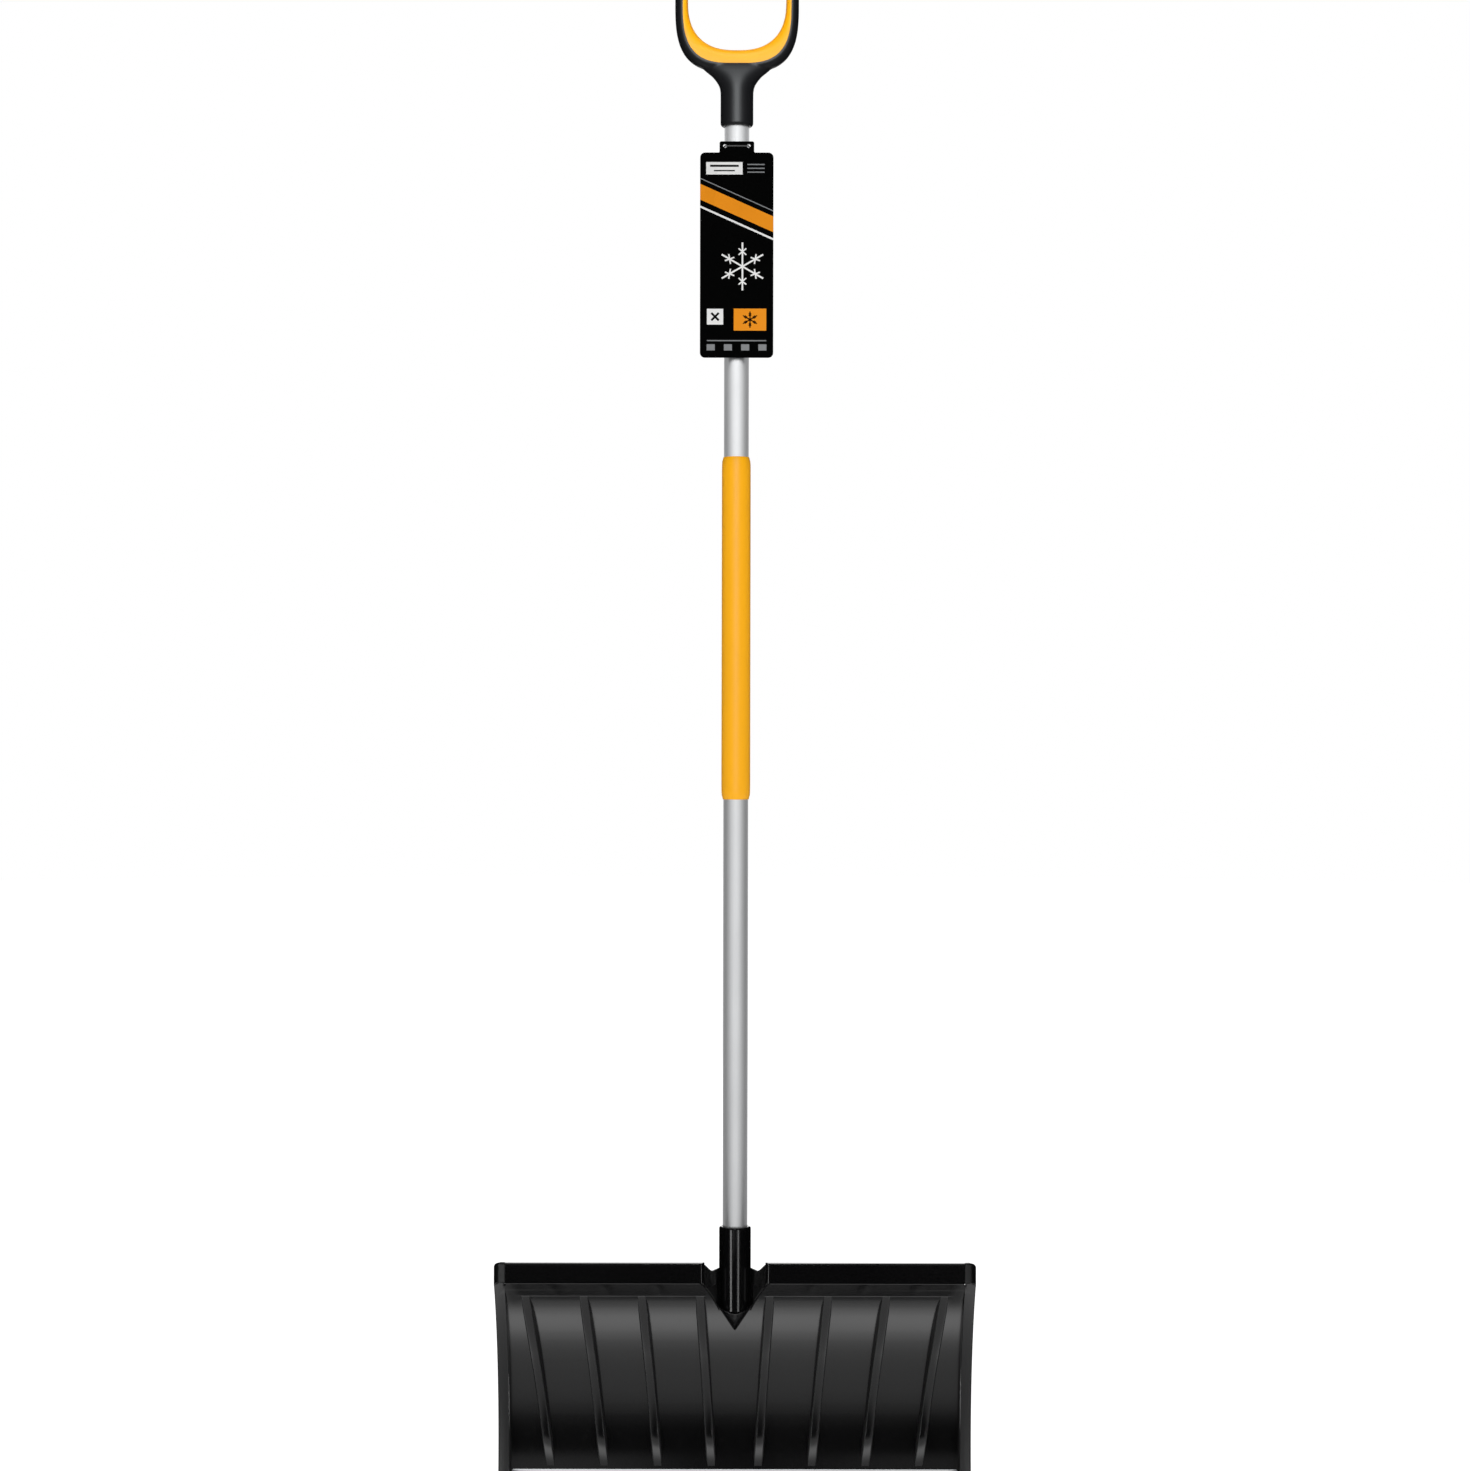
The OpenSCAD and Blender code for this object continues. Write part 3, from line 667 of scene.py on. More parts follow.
class PUSHER_OT_handle(bpy.types.Operator):
    """Adds the black handle: the D frame, its neck and its collar in one moulding"""
    bl_idname = "pusher.handle"
    bl_label = "Handle"

    def execute(self, context):
        s = sizes()
        depth = s.handle_depth / 2

        def section(u, v):
            flat, outer, inner = joint_at(u), outside_at(u), opening_at(u)
            e = 2 / 2.2 if cos(v) >= 0 else 2 / 2.8
            p = flat + ((outer if cos(v) >= 0 else inner) - flat) * abs(cos(v)) ** e
            return (p.x, depth * spow(sin(v), e), p.y)

        ring = hoop("handle_body", 160, 32, section)
        neck_rings = [(-0.1085, 0.0300, 0.0110), (-0.1110, 0.0385, 0.0118), (-0.1150, 0.0396, 0.0130),
                      (-0.1205, 0.0366, 0.0147), (-0.1245, 0.0322, 0.0156), (-0.1290, 0.0264, 0.0163),
                      (-0.1332, 0.0226, 0.0168), (-0.1375, 0.0197, 0.0171), (-0.1415, 0.0180, 0.0172),
                      (-0.1460, 0.0173, 0.0172), (-0.1520, 0.0172, 0.0172)]

        def neck_at(i, k):
            z, wide, deep = neck_rings[k]
            t = tau * i / 48
            return (wide * cos(t), deep * sin(t), z)

        low, high, r = HANDLE_LOW.z + 0.0016, HANDLE_LOW.z + s.collar_h + 0.001, s.collar_r
        combined(ring, rod("neck", 48, len(neck_rings), neck_at))
        combined(ring, drum("collar", r, low, high, (0.0036, 0), steps=64))
        applied(ring, "REMESH", mode="VOXEL", voxel_size=0.0009)
        applied(ring, "SMOOTH", factor=0.5, iterations=10)
        bored(ring, low - 0.002, TUBE_HIGH.z, 96)
        rim = [joint_at(tau * k / 160) for k in range(160)]
        combined(ring, plate("opening", [(p.x, p.y) for p in rim], 0.04, 0, upright(0.02)), "DIFFERENCE")
        seated(ring, r, COLLAR_SCREW_Z)
        smooth(ring, 50)
        return done(ring, "pusher", "handle_satin", "handle_frame")


class PUSHER_OT_liner(bpy.types.Operator):
    """Adds the soft orange liner in the hand opening"""
    bl_idname = "pusher.liner"
    bl_label = "Liner"

    def execute(self, context):
        depth, gap, e = sizes().handle_depth / 2 * 0.985, 0.0001, 2 / 2.6

        def section(u, v):
            flat, inner = joint_at(u), opening_at(u)
            flat = flat + (inner - flat).normalized() * gap
            if cos(v) > 0:
                return (flat.x, depth * sin(v), flat.y)
            p = flat + (inner - flat) * (-cos(v)) ** e
            return (p.x, depth * spow(sin(v), e), p.y)

        liner = smooth(softened(hoop("handle_liner_soft", 160, 40, section), 60), 60)
        return done(liner, "pusher", "grip_rubber", "handle_liner")


# ---- The shaft ----

class PUSHER_OT_shaft(bpy.types.Operator):
    """Adds the aluminium tube and finishes the plugs in its ends"""
    bl_idname = "pusher.shaft"
    bl_label = "Tube"

    def execute(self, context):
        s = sizes()
        low, high, r, inner, edge = TUBE_LOW.z, TUBE_HIGH.z, s.tube_r, s.tube_r - s.tube_wall, 0.0004
        line = rounded([(inner, low, edge), (r, low, edge), (r, high, edge), (inner, high, edge)], 2)
        tube = smooth(turned("tube", line + line[:1], steps=112), 32)
        for name in ("upper_plug", "lower_plug"):
            finished(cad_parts[name], "plug_cream")
        return done(tube, "pusher", "tube_anodised", "shaft_tube")


class PUSHER_OT_sleeve(bpy.types.Operator):
    """Adds the soft orange sleeve round the tube"""
    bl_idname = "pusher.sleeve"
    bl_label = "Sleeve"

    def execute(self, context):
        s = sizes()
        low, high, bore, r = SLEEVE_LOW.z, SLEEVE_HIGH.z, s.tube_r + SLEEVE_GAP, s.sleeve_r
        end = [(bore, 0), (bore + 0.0006, 0), (r - 0.001, 0.0022), (r - 0.00035, 0.0044), (r - 0.0001, 0.008)]
        line = [(x, low + h) for x, h in end]
        line += [(r, mix(low + 0.014, high - 0.014, k / 12)) for k in range(13)]
        line += [(x, high - h) for x, h in reversed(end)]
        sleeve = softened(turned("sleeve", line + line[:1]), 25)
        return done(smooth(sleeve, 60), "pusher", "grip_rubber", "grip_sleeve")


# ---- The blade ----

def lip(b, y):
    """The flange's upper edge in section, from its front at y over the fold to its back."""
    top, fold, low = b.lip_z, y + 0.008, b.lip_z - 0.0025
    return [(y, top, 0.0016), (fold, top, 0.0008), (fold, low, 0.0008), (y + sizes().wall, low, 0)]


def main_wall(b):
    """The foot, the face's arc and the flange with its fold, drawn once in section and run across."""
    s = sizes()
    w, r, y, steps = s.wall, s.face_r, b.lip_y, 100
    back_a = acos((y + w - b.axis_y) / (r + w))
    line = [(*b.on_toe(0, s.toe_len), 0.0008)]
    line += [(*b.on_face(mix(-TOE_ANGLE, b.top_a, k / steps), r), 0) for k in range(steps)]
    line += [(y, b.crease_z, 0.0015), *lip(b, y)]
    line += [(*b.on_face(mix(back_a, -TOE_ANGLE, k / steps), r + w), 0) for k in range(steps + 1)]
    line.append((*b.on_toe(w, s.toe_len), 0.0008))
    loop = rounded(line, 4, 0.0004)

    def place(i, k):
        reach = b.face_half + (0.0015 if loop[i][1] < b.crease_z - 0.003 else -0.0015)
        return (mix(-reach, reach, k), *loop[i])

    return rod("blade_body", len(loop), 2, place)


def flange_end(b, way):
    """The flange bent back a little, then round its corner, falling as it goes back to the side."""
    s = sizes()
    loop = rounded([(0, b.crease_z, 0.0012), *lip(b, 0), (s.wall, b.crease_z, 0.0008)], 4, 0.0004)
    bend = [(0, 0, 0, 0)]
    corner = (s.flange_corner * pi / 3, 60, 12)
    for length, turn, steps in ((0.0012, 10, 3), (0.0050, 2.4, 3), (0.0014, 17.6, 4), corner):
        for _ in range(steps):
            x, y, a, run = bend[-1]
            a, step = a + radians(turn / steps), length / steps
            bend.append((x + step * cos(a), y + step * sin(a), a, run + step))
    x, y, _, run = bend[-1]
    bend.append((x, s.flange_return, pi / 2, run + s.flange_return - y))
    start_x, start_y = b.half - x, b.lip_y
    level, drop, slope = 0.006, 0.0056, 0.35    # level at first, then down by the drop, then at a slope
    path = [(b.face_half - 0.003, start_y, 0, 0)]
    path += [(start_x + px, start_y + py, a, at) for px, py, a, at in bend]

    def place(i, k):
        px, py, a, at = path[k]
        d, z = loop[i]
        bent = max(0, min(at, run) - level) / (run - level)
        fall = drop * bent ** 2.3 + slope * max(0, at - run)
        return (way * (px - d * sin(a)), py + d * cos(a), z - fall)

    return rod("flange_end", len(loop), len(path), place)


def side_gutter(b, way):
    """The wall up from the face, the band turned outwards and the rim behind it, in one bent section."""
    s = sizes()
    inner, outer, t, rim, rings = b.face_half, b.half, 0.003, s.side_rim, 40
    deep = 1.0          # stands for the face's back in the section, and is put there ring by ring
    section = [(inner, deep, 0), (inner, 0, 0.0010), (outer, 0, 0.0022), (outer, rim, 0.0012),
               (outer - t, rim, 0.0012), (outer - t, t, 0.0008), (inner + t, t, 0.0008), (inner + t, deep, 0)]
    loop = rounded(section, 5, 0.0003)
    down, end = b.down, b.down.dot(b.toe_low)
    axis, face_axis = Vector((b.side_y, b.side_z)), Vector((b.axis_y, b.deep_z))

    def place(i, k):
        x, d = loop[i]
        top_z = b.crease_z + 0.0018 - 0.006 * max(0, (x - inner) / (outer - inner)) ** 1.5

        def at(depth):
            r = b.side_r + depth
            low = atan2(down.y, down.x) + acos((end - down.dot(axis)) / r)
            high = asin((top_z - b.side_z) / r)
            low = low - tau if low > pi else low
            a = mix(low, high, k / (rings - 1))
            return axis + Vector((cos(a), sin(a))) * r

        p = at(d if d < deep else t)
        if d == deep:
            ray = p - face_axis
            p = face_axis + ray.normalized() * max(s.face_r + s.wall, ray.length + 0.001)
            p = p - down * max(0, down.dot(p) - end)
        return (way * x, p.x, p.y)

    return rod("side_gutter", len(loop), rings, place)


def rib_line(b, n, z):
    """Distance of rib n from the middle at the height z: the ribs lean outwards towards the top."""
    s = sizes()
    low, high = (b.on_face(a, s.face_r).y for a in b.rib_arc)
    return s.rib_first + n * s.rib_pitch + (0.0116 + n * 0.0036) * (z - low) / (high - low)


def rib(b, way, n):
    """A flat-topped rib that rises out of the face at its foot and runs out into it at its head."""
    s = sizes()
    low_a, top_a = b.rib_arc
    rings, around, root = 72, 28, 0.0015
    # the second ring stands close to each end, so that the end's edge stays sharp
    turns = [0, *(mix(0.002, 0.998, k / (rings - 3)) for k in range(rings - 2)), 1]

    def place(i, k):
        a = mix(low_a, top_a, turns[k])
        foot, head = (a - low_a) * s.face_r, (top_a - a) * s.face_r
        rise = 1 - (1 - min(1, foot / s.rib_foot)) ** 2
        rise *= 1 - (1 - min(1, head / s.rib_head)) ** 2
        t = tau * i / around
        half = s.rib_w / 2 * (0.74 + 0.26 * min(1, rise * 2)) * (1 - 0.05 * max(0, sin(t)))
        across = spow(cos(t), 0.3) * half
        out = spow(sin(t), 0.3) * s.rib_h * rise if sin(t) > 0 else sin(t) * root
        p = b.on_face(a, s.face_r - out)
        return (way * (rib_line(b, n, b.on_face(a, s.face_r).y) + across), p.x, p.y)

    return rod("rib", around, rings, place)


def notch_wall(b, way):
    """The flange's edge at the notch, turned back in one soft bend to the side of the socket."""
    s = sizes()
    y0, t, n = b.lip_y, 0.003, 14
    path = rounded([(s.notch_half + 0.0040, y0, 0), (s.notch_half, y0, 0.0032), (*b.notch_end, 0)], 8)
    path = [Vector(p) for p in path]
    path[-1:] = [path[-2].lerp(path[-1], k / n) for k in range(1, n + 1)]
    lengths = [0.0]
    for p, q in zip(path, path[1:]):
        lengths.append(lengths[-1] + (q - p).length)
    rim = [(0, 0.0012), (0.00035, 0.00035), (0.0012, 0), (t - 0.0012, 0), (t - 0.00035, 0.00035), (t, 0.0012)]

    def place(i, k):
        p = path[k]
        along = (path[min(k + 1, len(path) - 1)] - path[max(k - 1, 0)]).normalized()
        out = Vector((-along.y, along.x))
        out = out if out.x + out.y > 0 else -out
        d, inset = rim[min(i, 11 - i)]
        top = b.lip_z - s.funnel_dip * ease((lengths[k] - 0.0020) / 0.029)
        low = b.crease_z - 0.0002 if p.y < y0 + 1e-5 else b.face_z(p.y, s.face_r - 0.0003 + 0.002 * d / t)
        q = p + out * d
        return (way * q.x, q.y, top - inset if i < 6 else low + inset)

    return rod("notch_wall", 12, len(path), place)


def nose(b):
    """The wedge that closes the funnel below, from its curved rim back to its tip on the face."""
    rim_z, end_z, tip_z = b.socket_low - 0.0010, b.socket_low + 0.0160, b.socket_low - 0.0246
    half, count, front = 0.0233, 41, -sizes().socket_r - 0.0015

    def place(i, k):
        u = mix(-1.04, 1.04, k / (count - 1))
        t = min(abs(u), 1)
        z = end_z + (rim_z - end_z) * (1 - t * t)
        rim = Vector((mix(front, b.face_y(end_z) - 0.0004, t ** 1.8), z))
        edge_z = mix(tip_z, end_z, sqrt(t * t + 0.002) / sqrt(1.002))
        edge = Vector((b.face_y(edge_z), edge_z))
        back = Vector((b.face_y(z + 0.001) + 0.0028, z + 0.001))
        floor, under = (back - rim).normalized(), (edge - rim).normalized()
        tip = edge + under * 0.003
        r = (0.0011 * (1 - t ** 4) + 0.00012) * 1.9
        if i <= 8:          # the rounded rim, from the floor over to the underside
            p = rim + (floor * (1 - i / 8) ** 2 + under * (i / 8) ** 2) * r
        elif i <= 13:       # the underside, slightly full
            f, begin = (i - 8) / 5, rim + under * r
            p = begin.lerp(tip, f) + Vector((under.y, -under.x)) * (tip - begin).length * 0.05 * sin(pi * f)
        else:
            p = tip.lerp(back, (i - 13) / 2)
        return (half * u, p.x, p.y)

    return rod("nose", 16, count, place)


def web(b):
    """The upright web that ties the back of the socket to the back of the face."""
    s = sizes()
    z0 = BLADE_SCREW_Z - 0.024
    z1, tip_z, thick = z0 - 0.120, b.socket_low - 0.0256, 0.004
    begin, end = s.socket_r + 0.001, b.face_y(z1) + 0.003
    points = [(s.socket_r - 0.002, z0), (begin, z0)]
    for t in (k / 12 for k in range(1, 12)):
        points.append((mix(begin, end, t) - 0.006 * sin(pi * t), mix(z0, z1, t)))
    points += [(b.face_y(z) + 0.0015, z) for z in (mix(z1, tip_z, k / 8) for k in range(9))]
    points.append((s.tube_r + 0.001, b.socket_low))
    turn = Matrix(((0, 0, 1, -thick / 2), (1, 0, 0, 0), (0, 1, 0, 0), (0, 0, 0, 1)))
    return plate("web", points, thick, 0.0009, turn)


def funnel_opening(b):
    """What the funnel takes out of the wall, up to the middle of its own walls' thickness."""
    s, y0 = sizes(), b.lip_y
    half = [(s.notch_half + 0.0030, y0 - 0.005), (s.notch_half + 0.0030, y0 + 0.0002),
            (s.notch_half + 0.0008, y0 + 0.0024), (b.notch_end.x + 0.0016, b.notch_end.y)]
    outline = half + [(-x, y) for x, y in reversed(half)]
    lift = Matrix.Translation((0, 0, b.socket_low + 0.001))
    return plate("opening", outline, b.lip_z - b.socket_low, 0, lift)


class PUSHER_OT_blade(bpy.types.Operator):
    """Adds the black blade: face, ribs, flange, side bands, funnel, nose and socket in one moulding"""
    bl_idname = "pusher.blade"
    bl_label = "Blade"

    def execute(self, context):
        b, r, high, steps = BladeShape(), sizes().socket_r, BLADE_HIGH.z, 112
        body = main_wall(b)
        for way in (-1, 1):
            for n in range(4):
                combined(body, rib(b, way, n))
        combined(body, funnel_opening(b), "DIFFERENCE")
        for way in (-1, 1):
            for part in (flange_end, side_gutter, notch_wall):
                combined(body, part(b, way))
        combined(body, nose(b))
        combined(body, web(b))
        combined(body, drum("socket", r, b.socket_low, high, (0.001, 0.0024), steps=steps))
        bored(body, TUBE_LOW.z, high + 0.002, steps)
        seated(body, r, BLADE_SCREW_Z)
        smooth(body, 25)
        return done(body, "pusher", "blade_gloss", "blade")


# ---- Strip, rivets and screws ----

class PUSHER_OT_strip(bpy.types.Operator):
    """Adds the steel wear strip, its rivets and their washers"""
    bl_idname = "pusher.strip"
    bl_label = "Wear strip"

    def execute(self, context):
        s, b = sizes(), BladeShape()
        half = (STRIP_HIGH.x - STRIP_LOW.x) / 2
        toe = b.on_toe(0, 0)
        outline = rounded([(-half, 0.003, 0.002), (-half, -s.strip_h, 0.003), (half, -s.strip_h, 0.003),
                           (half, 0.003, 0.002)], 4)
        on_toe = Matrix.Translation((0, toe.x, toe.y)) @ Matrix.Rotation(-TOE_ANGLE, 4, "X")
        strip = plate("strip", outline, s.strip_t, 0.00035, on_toe @ upright(0), 2)
        done(smooth(strip, 40), "pusher", "strip_rolled", "wear_strip")

        # a rivet in section: its head before the strip and its lower, smaller head behind the wall
        back, dome, count = -s.wall - 0.001, 0.0018, 7
        quarter = [radians(a) for a in range(0, 91, 10)]
        head = [(0.0048 * cos(a), s.strip_t + dome * sin(a)) for a in quarter[:-1]] + [(0, s.strip_t + dome)]
        tail = [(0, back - dome)] + [(0.0043 * cos(a), back - dome * sin(a)) for a in reversed(quarter[:-1])]
        rivet = tail + [(0.0025, back), (0.0025, s.strip_t)] + head
        hole_r, washer_r, washer_t = 0.00255, 0.0065, 0.001
        washer = rounded([(hole_r, 0, 0.0002), (washer_r, 0, 0.0003), (washer_r, washer_t, 0.0003),
                          (hole_r, washer_t, 0.0002)], 2)
        first = -half + 0.018
        spots = [on_toe @ Matrix.Translation((mix(first, -first, n / (count - 1)), 0, -0.011))
                 @ Matrix.Rotation(pi / 2, 4, "X") for n in range(count)]
        rivets = joined([turned("rivets", rivet, turn=here, steps=28) for here in spots])
        behind = Matrix.Translation((0, 0, back))
        washers = joined([turned("washers", washer + washer[:1], turn=here @ behind, steps=32)
                          for here in spots])
        done(smooth(rivets, 40), "pusher", "bright_steel", "strip_rivets")
        return done(smooth(washers, 40), "pusher", "bright_steel", "rivet_washers")


class PUSHER_OT_screws(bpy.types.Operator):
    """Adds the two cross-head screws at the back of the collar and of the socket"""
    bl_idname = "pusher.screws"
    bl_label = "Screws"

    def execute(self, context):
        s = sizes()
        head_h, r = 0.0026, 0.002
        for name, node, wall_r, z, head_r in (
                ("collar_screw", "handle_screw", s.collar_r, COLLAR_SCREW_Z, HANDLE_SCREW_HIGH.x),
                ("blade_screw", "socket_screw", s.socket_r, BLADE_SCREW_Z, SOCKET_SCREW_HIGH.x)):
            line = [(0, -0.014), (0.0004, -0.014), (r * 0.72, -0.010)]
            for k in range(6):      # the thread
                at = -0.010 + k * 0.0015
                line += [(r, at + 0.0004), (r * 0.74, at + 0.0010)]
            line += [(r, -0.0004), (r, 0), (head_r - 0.0003, 0), (head_r, 0.0003)]
            for a in (radians(a) for a in range(10, 90, 10)):
                line.append((head_r * cos(a), head_h * (0.35 + 0.65 * sin(a))))
            line.append((0, head_h))
            screw = turned(name, line, steps=40)
            for turn in (0, pi / 2):
                slot = start(bpy.ops.mesh.primitive_cube_add, "slot", size=1,
                             location=(0, 0, head_h - 0.0002))
                slot.scale = (head_r * 1.1, head_r * 0.30, 0.0024)
                slot.rotation_euler.z = turn
                settle(slot)
                combined(screw, slot, "DIFFERENCE")
            seat = Matrix.Translation((0, wall_r - SEAT_DEPTH, z))
            screw.matrix_world = seat @ Matrix.Rotation(-pi / 2, 4, "X")
            done(smooth(settle(screw), 35), "pusher", "bright_steel", node)
        return {"FINISHED"}


# ---- The hang tag ----

class PUSHER_OT_tag(bpy.types.Operator):
    """Adds the printed card and the tie that holds it to the tube"""
    bl_idname = "pusher.tag"
    bl_label = "Hang tag"

    def execute(self, context):
        half, tab, corner = (TAG_HIGH.x - TAG_LOW.x) / 2, 0.0181, 0.0052
        top, low, front, back = TAG_HIGH.z - 0.0029, TAG_LOW.z - 0.0013, TAG_LOW.y, TAG_HIGH.y
        shoulder = top - 0.0117
        right = [(half, low, corner), (half, shoulder, corner), (tab, shoulder, 0.0012), (tab, top, 0.0020)]
        outline = rounded(right + [(-x, z, r) for x, z, r in reversed(right)], 6)
        card = plate("tag_card", outline, back - front, 0.00018, upright(back), 2)
        tie_z = (TIE_LOW.z + TIE_HIGH.z) / 2
        hole_x, hole_r = 0.0123, 0.0020
        for x in (-hole_x, hole_x):
            punch = drum("punch", hole_r, -0.004, 0.004, centre=(x, front, tie_z),
                         turn=Matrix.Rotation(pi / 2, 4, "X"), steps=32)
            combined(card, punch, "DIFFERENCE")
        done(smooth(card, 40), "tag", "card_print", "hang_tag")

        r = 0.0007
        reach, side, front_x = -TIE_LOW.y - r, TIE_HIGH.x - r, 0.0128
        from_y, card_y = 0.0065, -TAG_HIGH.y - r

        def loop(t):
            if sin(t) >= 0:
                return Vector((side * cos(t), side * sin(t)))
            y = reach * spow(sin(t), 0.2)
            x = mix(side, front_x, ease((-y - from_y) / (card_y - from_y)))
            return Vector((x * spow(cos(t), 0.2), y))

        def place(u, v):
            a = loop(u)
            way = (loop(u + 0.01) - loop(u - 0.01)).normalized()
            return (a.x + way.y * r * cos(v), a.y - way.x * r * cos(v), tie_z + r * sin(v))

        tie = smooth(hoop("tag_loop", 144, 12, place), 60)
        return done(tie, "tie", "tie_nylon", "tag_tie")


# ---- Floor, lights and camera ----

SOFT_PIECES = ("handle_liner_soft", "sleeve")
METAL_PIECES = ("tube", "strip", "rivets", "washers", "collar_screw", "blade_screw")


class PUSHER_OT_stage(bpy.types.Operator):
    """Adds the pale floor, the studio lights and the camera"""
    bl_idname = "pusher.stage"
    bl_label = "Stage"

    @staticmethod
    def only_for(light, names):
        """Lets a light fall on the named pieces alone."""
        group = bpy.data.collections.new(light.name + "_pieces")
        for name in names:
            group.objects.link(bpy.data.objects[name])
        light.light_linking.receiver_collection = group

    def glow(self, sheet, strength, light, pieces):
        """Makes a sheet that glows by its place and shows in the gloss of some pieces only."""
        f = Finish(sheet.name, Base_Color=(0, 0, 0, 1), Specular_IOR_Level=0, Emission_Strength=strength)
        sheet.data.materials.append(f.feed(Emission_Color=light(f)))
        sheet.visible_camera = sheet.visible_diffuse = sheet.visible_shadow = False
        self.only_for(sheet, pieces)

    def lamp(self, name, radiance, centre, aim, w, h, pieces=()):
        data = bpy.data.lights.new(name, "AREA")
        data.shape, data.size, data.size_y, data.energy = "RECTANGLE", w, h, radiance * pi * w * h
        lamp = bpy.data.objects.new(name, data)
        bpy.context.collection.objects.link(lamp)
        lamp.location = centre
        lamp.rotation_euler = (Vector(aim) - Vector(centre)).to_track_quat("-Z", "Y").to_euler()
        lamp.visible_camera = False
        if pieces:
            self.only_for(lamp, pieces)
        return lamp

    def floor(self, z):
        """The pale floor, and on it a glowing card before the blade, brightest close under it."""
        floor = start(bpy.ops.mesh.primitive_circle_add, "floor", vertices=96, radius=14, fill_type="NGON",
                      location=(0, 0, z))
        pale = Finish("pale_floor", Base_Color=(0.55, 0.55, 0.55, 1), Roughness=0.9, Specular_IOR_Level=0,
                      Emission_Color=(1, 1, 1, 1), Emission_Strength=0.92)
        floor.data.materials.append(pale.material)
        floor.visible_glossy = False
        settle(floor)

        low, high, wide, strength = -0.25, 0.08, 0.96, 2.4
        card = start(bpy.ops.mesh.primitive_plane_add, "floor_card", size=1,
                     location=(0, (low + high) / 2, z + 0.0004))
        card.scale = (wide, high - low, 1)
        # places from front to back, and the light there
        stops = [(-0.230, 0), (-0.190, 0.01), (-0.172, 0.05), (-0.157, 0.16), (-0.147, 0.31), (-0.137, 0.45),
                 (-0.121, 0.6), (-0.114, 0.66), (-0.081, 0.69), (-0.062, 0.78), (-0.052, 0.92),
                 (-0.047, 1.06), (-0.042, 1.3), (-0.036, 1.7), (-0.030, 2.14), (-0.022, 2.34),
                 (-0.012, 2.28), (-0.002, 1.94), (0.006, 1.3), (0.016, 0.68), (0.027, 0.52), (0.039, 0.46)]

        def across_card(f):
            x, y, _ = f.axes()
            depth = f.ramp((y - low) * (1 / (high - low)),
                           *[((at - low) / (high - low), level / strength) for at, level in stops])
            return f.blend(f.ramp(abs(x) * (2 / wide), (0.80, 1), (1.0, 0)), (0, 0, 0), depth)

        self.glow(settle(card), strength, across_card, ["blade_body"])

    def tent(self, z):
        """A round tent for the metal: bright in front and above, less so behind, dim to the sides."""
        r = 2.7
        tent = start(bpy.ops.mesh.primitive_cylinder_add, "tent", vertices=96, radius=r, depth=5.6,
                     end_fill_type="NOTHING", location=(0, 0, z))

        def round_tent(f):
            _, y, up = f.axes()
            front = 0.5 - y * (0.5 / r)
            higher = f.ramp(up, (0.14, 0), (0.55, 0.74))
            return (0.19 + 0.80 * front ** 3 + 0.43 * (1 - front) ** 6) * (1 + higher)

        self.glow(settle(tent), 1, round_tent, METAL_PIECES)

    def lamps(self, middle):
        for name, radiance, pieces in (("front_panel", 19, ["handle_body"]),
                                       ("grip_panel", 5.4, SOFT_PIECES)):
            lamp = self.lamp(name, radiance, (0, -2.9, 0.0), (0, 0, middle + 0.2), 1.0, 2.2, pieces)
            lamp.data.color = (0.94, 0.98, 1.0)     # a little cool
        self.lamp("liner_card", 4.5, (0, -1.1, 1.3), (0, 0, -0.07), 1.3, 0.8, ["handle_liner_soft"])
        self.lamp("top_card", 14, (0, -1.70, 0.55), (0, 0, -1.42), 0.12, 0.5, ["blade_body"])
        self.lamp("back_panel", 1.8, (0, 2.5, -0.3), (0, 0, middle), 1.0, 2.6,
                  ["handle_body", *SOFT_PIECES, "blade_body"])
        # tall strips to both sides for the blade's edges, and low cards for its ribs
        for name, azimuth, radiance, far, z, aim_z, w, h in (
                ("left_strip", -29, 6.0, 2.6, -1.6, -1.5, 0.36, 2.4),
                ("right_strip", 24, 4.2, 2.6, -1.6, -1.5, 0.34, 2.4),
                ("low_left_card", -9, 0.42, 2.55, -1.16, -1.57, 0.50, 0.9),
                ("low_right_card", 8, 0.26, 2.55, -1.16, -1.57, 0.36, 0.9)):
            a = radians(azimuth)
            self.lamp(name, radiance, (far * sin(a), -far * cos(a), z), (0, 0, aim_z), w, h, ["blade_body"])
        for name, y, radiance in (("soft_front", -3.6, 2.6), ("soft_back", 3.6, 1.6)):
            self.lamp(name, radiance, (0, y, 0.8), (0, 0, middle), 3.2, 2.4).visible_glossy = False

    def world(self, scene):
        """White to the eye. For the pieces dark before them, brighter to the sides and behind."""
        scene.world = bpy.data.worlds.new("studio")
        scene.world.use_nodes = True
        w = Nodes(scene.world.node_tree)
        w.tree.nodes.clear()
        back = w.axes("Generated")[1] * 0.5 + 0.5
        tone = w.ramp(back, (0.15, 0.02), (0.75, (0.30, 0.30, 0.305)), (1.0, (0.70, 0.70, 0.71)))
        room = w.node("ShaderNodeBackground", inputs={"Color": tone})
        seen = w.node("ShaderNodeBackground", inputs={"Color": (1, 1, 1, 1)})
        eye = w.node("ShaderNodeLightPath", output="Is Camera Ray")
        both = w.node("ShaderNodeMixShader", inputs={0: eye, 1: room, 2: seen})
        out = w.tree.nodes.new("ShaderNodeOutputWorld")
        w.tree.links.new(both.socket, out.inputs["Surface"])

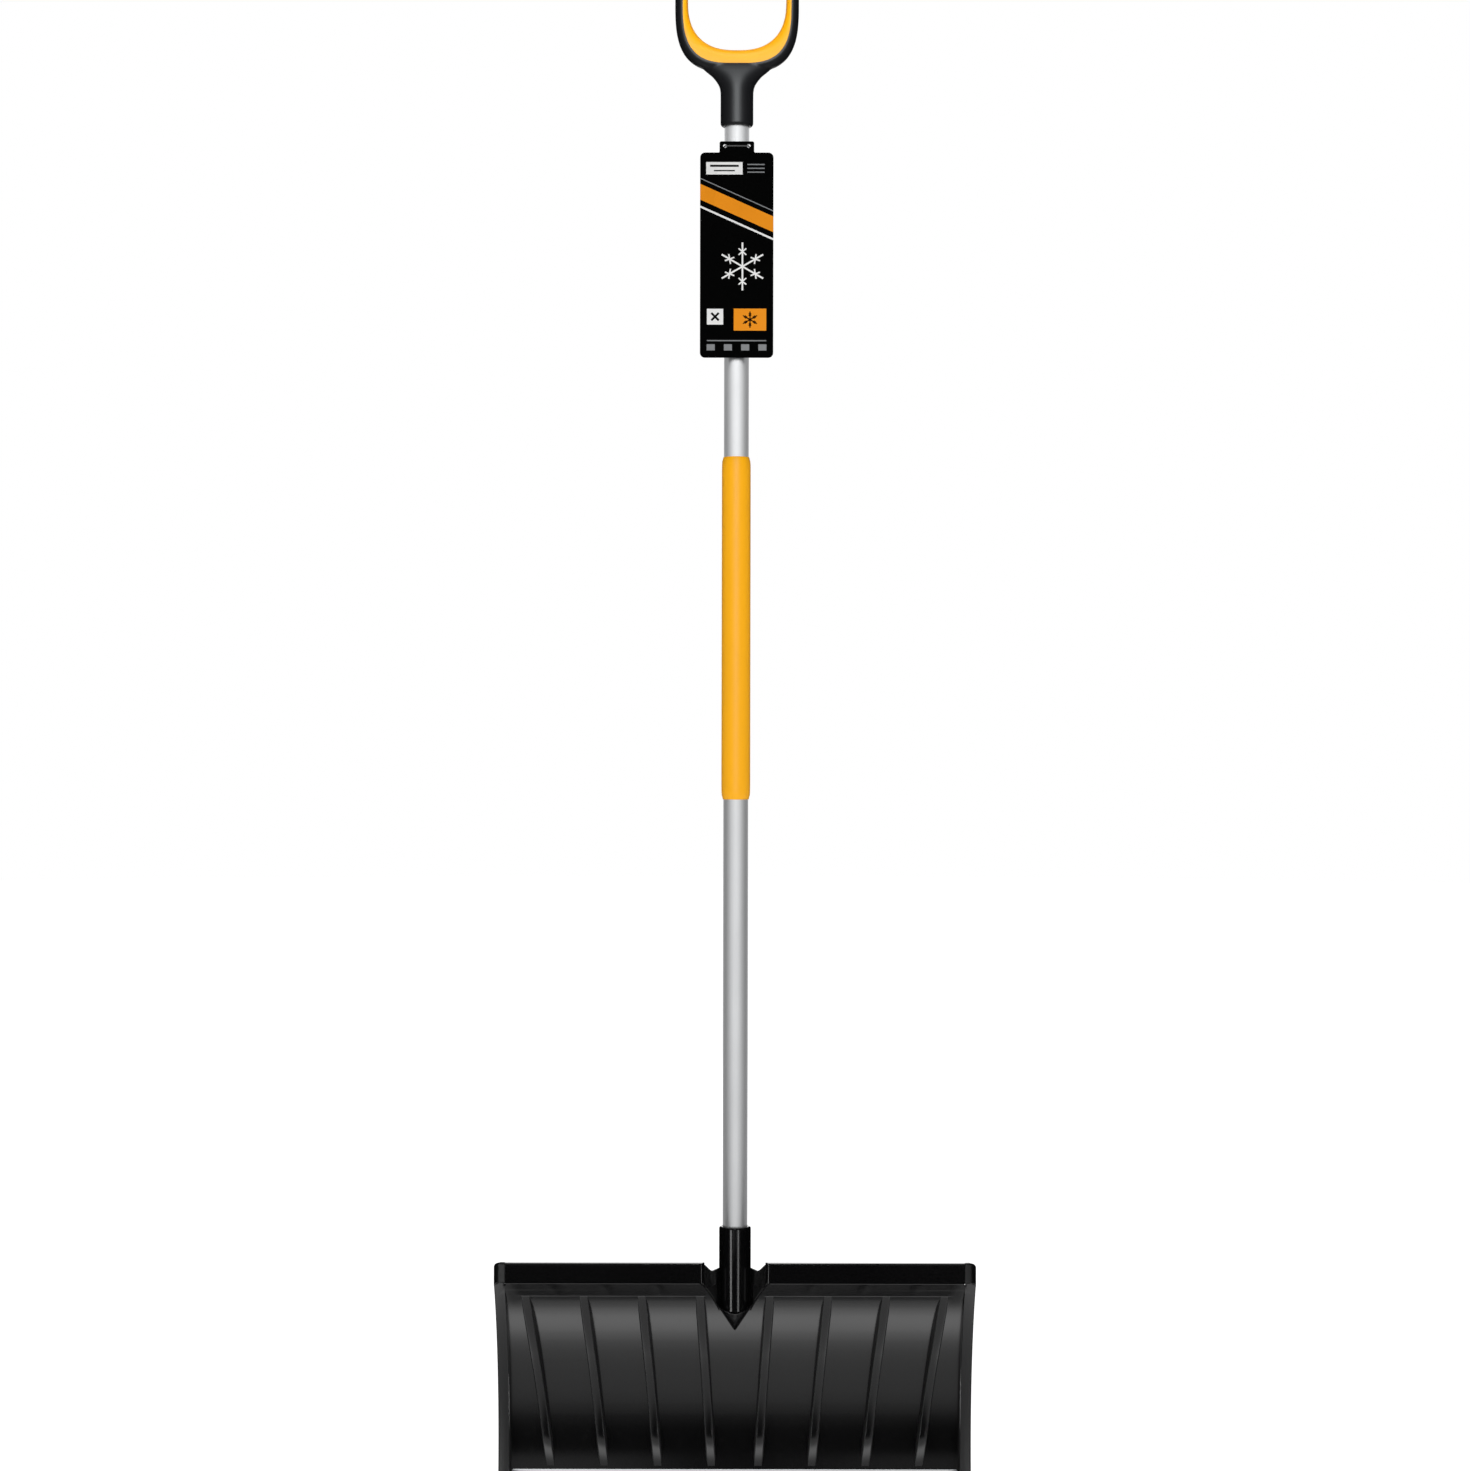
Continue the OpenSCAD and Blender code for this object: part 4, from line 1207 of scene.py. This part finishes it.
    def camera(self, scene):
        data = bpy.data.cameras.new("camera")
        data.sensor_fit, data.sensor_width, data.lens = "HORIZONTAL", 36, 73.47
        data.clip_start, data.clip_end = 0.05, 60
        camera = bpy.data.objects.new("camera", data)
        scene.collection.objects.link(camera)
        camera.location = (-0.0009, -3.15, -0.821)
        camera.rotation_euler = (pi / 2, radians(-0.1), 0)
        scene.camera = camera
        scene.view_settings.view_transform = "Standard"
        scene.view_settings.look = "None"

    def execute(self, context):
        middle = (TUBE_LOW.z + HANDLE_HIGH.z) / 2
        self.floor(STRIP_LOW.z - 0.0005)
        self.tent(middle)
        self.lamps(middle)
        self.world(context.scene)
        self.camera(context.scene)
        return {"FINISHED"}


OPERATORS = (PUSHER_OT_handle, PUSHER_OT_liner, PUSHER_OT_shaft, PUSHER_OT_sleeve, PUSHER_OT_blade,
             PUSHER_OT_strip, PUSHER_OT_screws, PUSHER_OT_tag, PUSHER_OT_stage)


class PUSHER_PT_panel(bpy.types.Panel):
    """Lists the pieces of the snow pusher"""
    bl_idname = "PUSHER_PT_panel"
    bl_label = "Snow Pusher"
    bl_space_type = "VIEW_3D"
    bl_region_type = "UI"
    bl_category = "Snow Pusher"

    def draw(self, context):
        for operator in OPERATORS:
            self.layout.operator(operator.bl_idname)
        for group in (context.scene.pusher_sizes, context.scene.pusher_colours):
            box = self.layout.box()
            for key in group.__annotations__:
                box.prop(group, key)


CLASSES = (PusherSizes, PusherColours, *OPERATORS, PUSHER_PT_panel)


def register():
    for c in CLASSES:
        bpy.utils.register_class(c)
    bpy.types.Scene.pusher_sizes = bpy.props.PointerProperty(type=PusherSizes)
    bpy.types.Scene.pusher_colours = bpy.props.PointerProperty(type=PusherColours)


def unregister():
    del bpy.types.Scene.pusher_sizes, bpy.types.Scene.pusher_colours
    for c in reversed(CLASSES):
        bpy.utils.unregister_class(c)


def main():
    register()
    for operator in OPERATORS:
        group, name = operator.bl_idname.split(".")
        getattr(getattr(bpy.ops, group), name)()


if __name__ == "__main__":
    main()
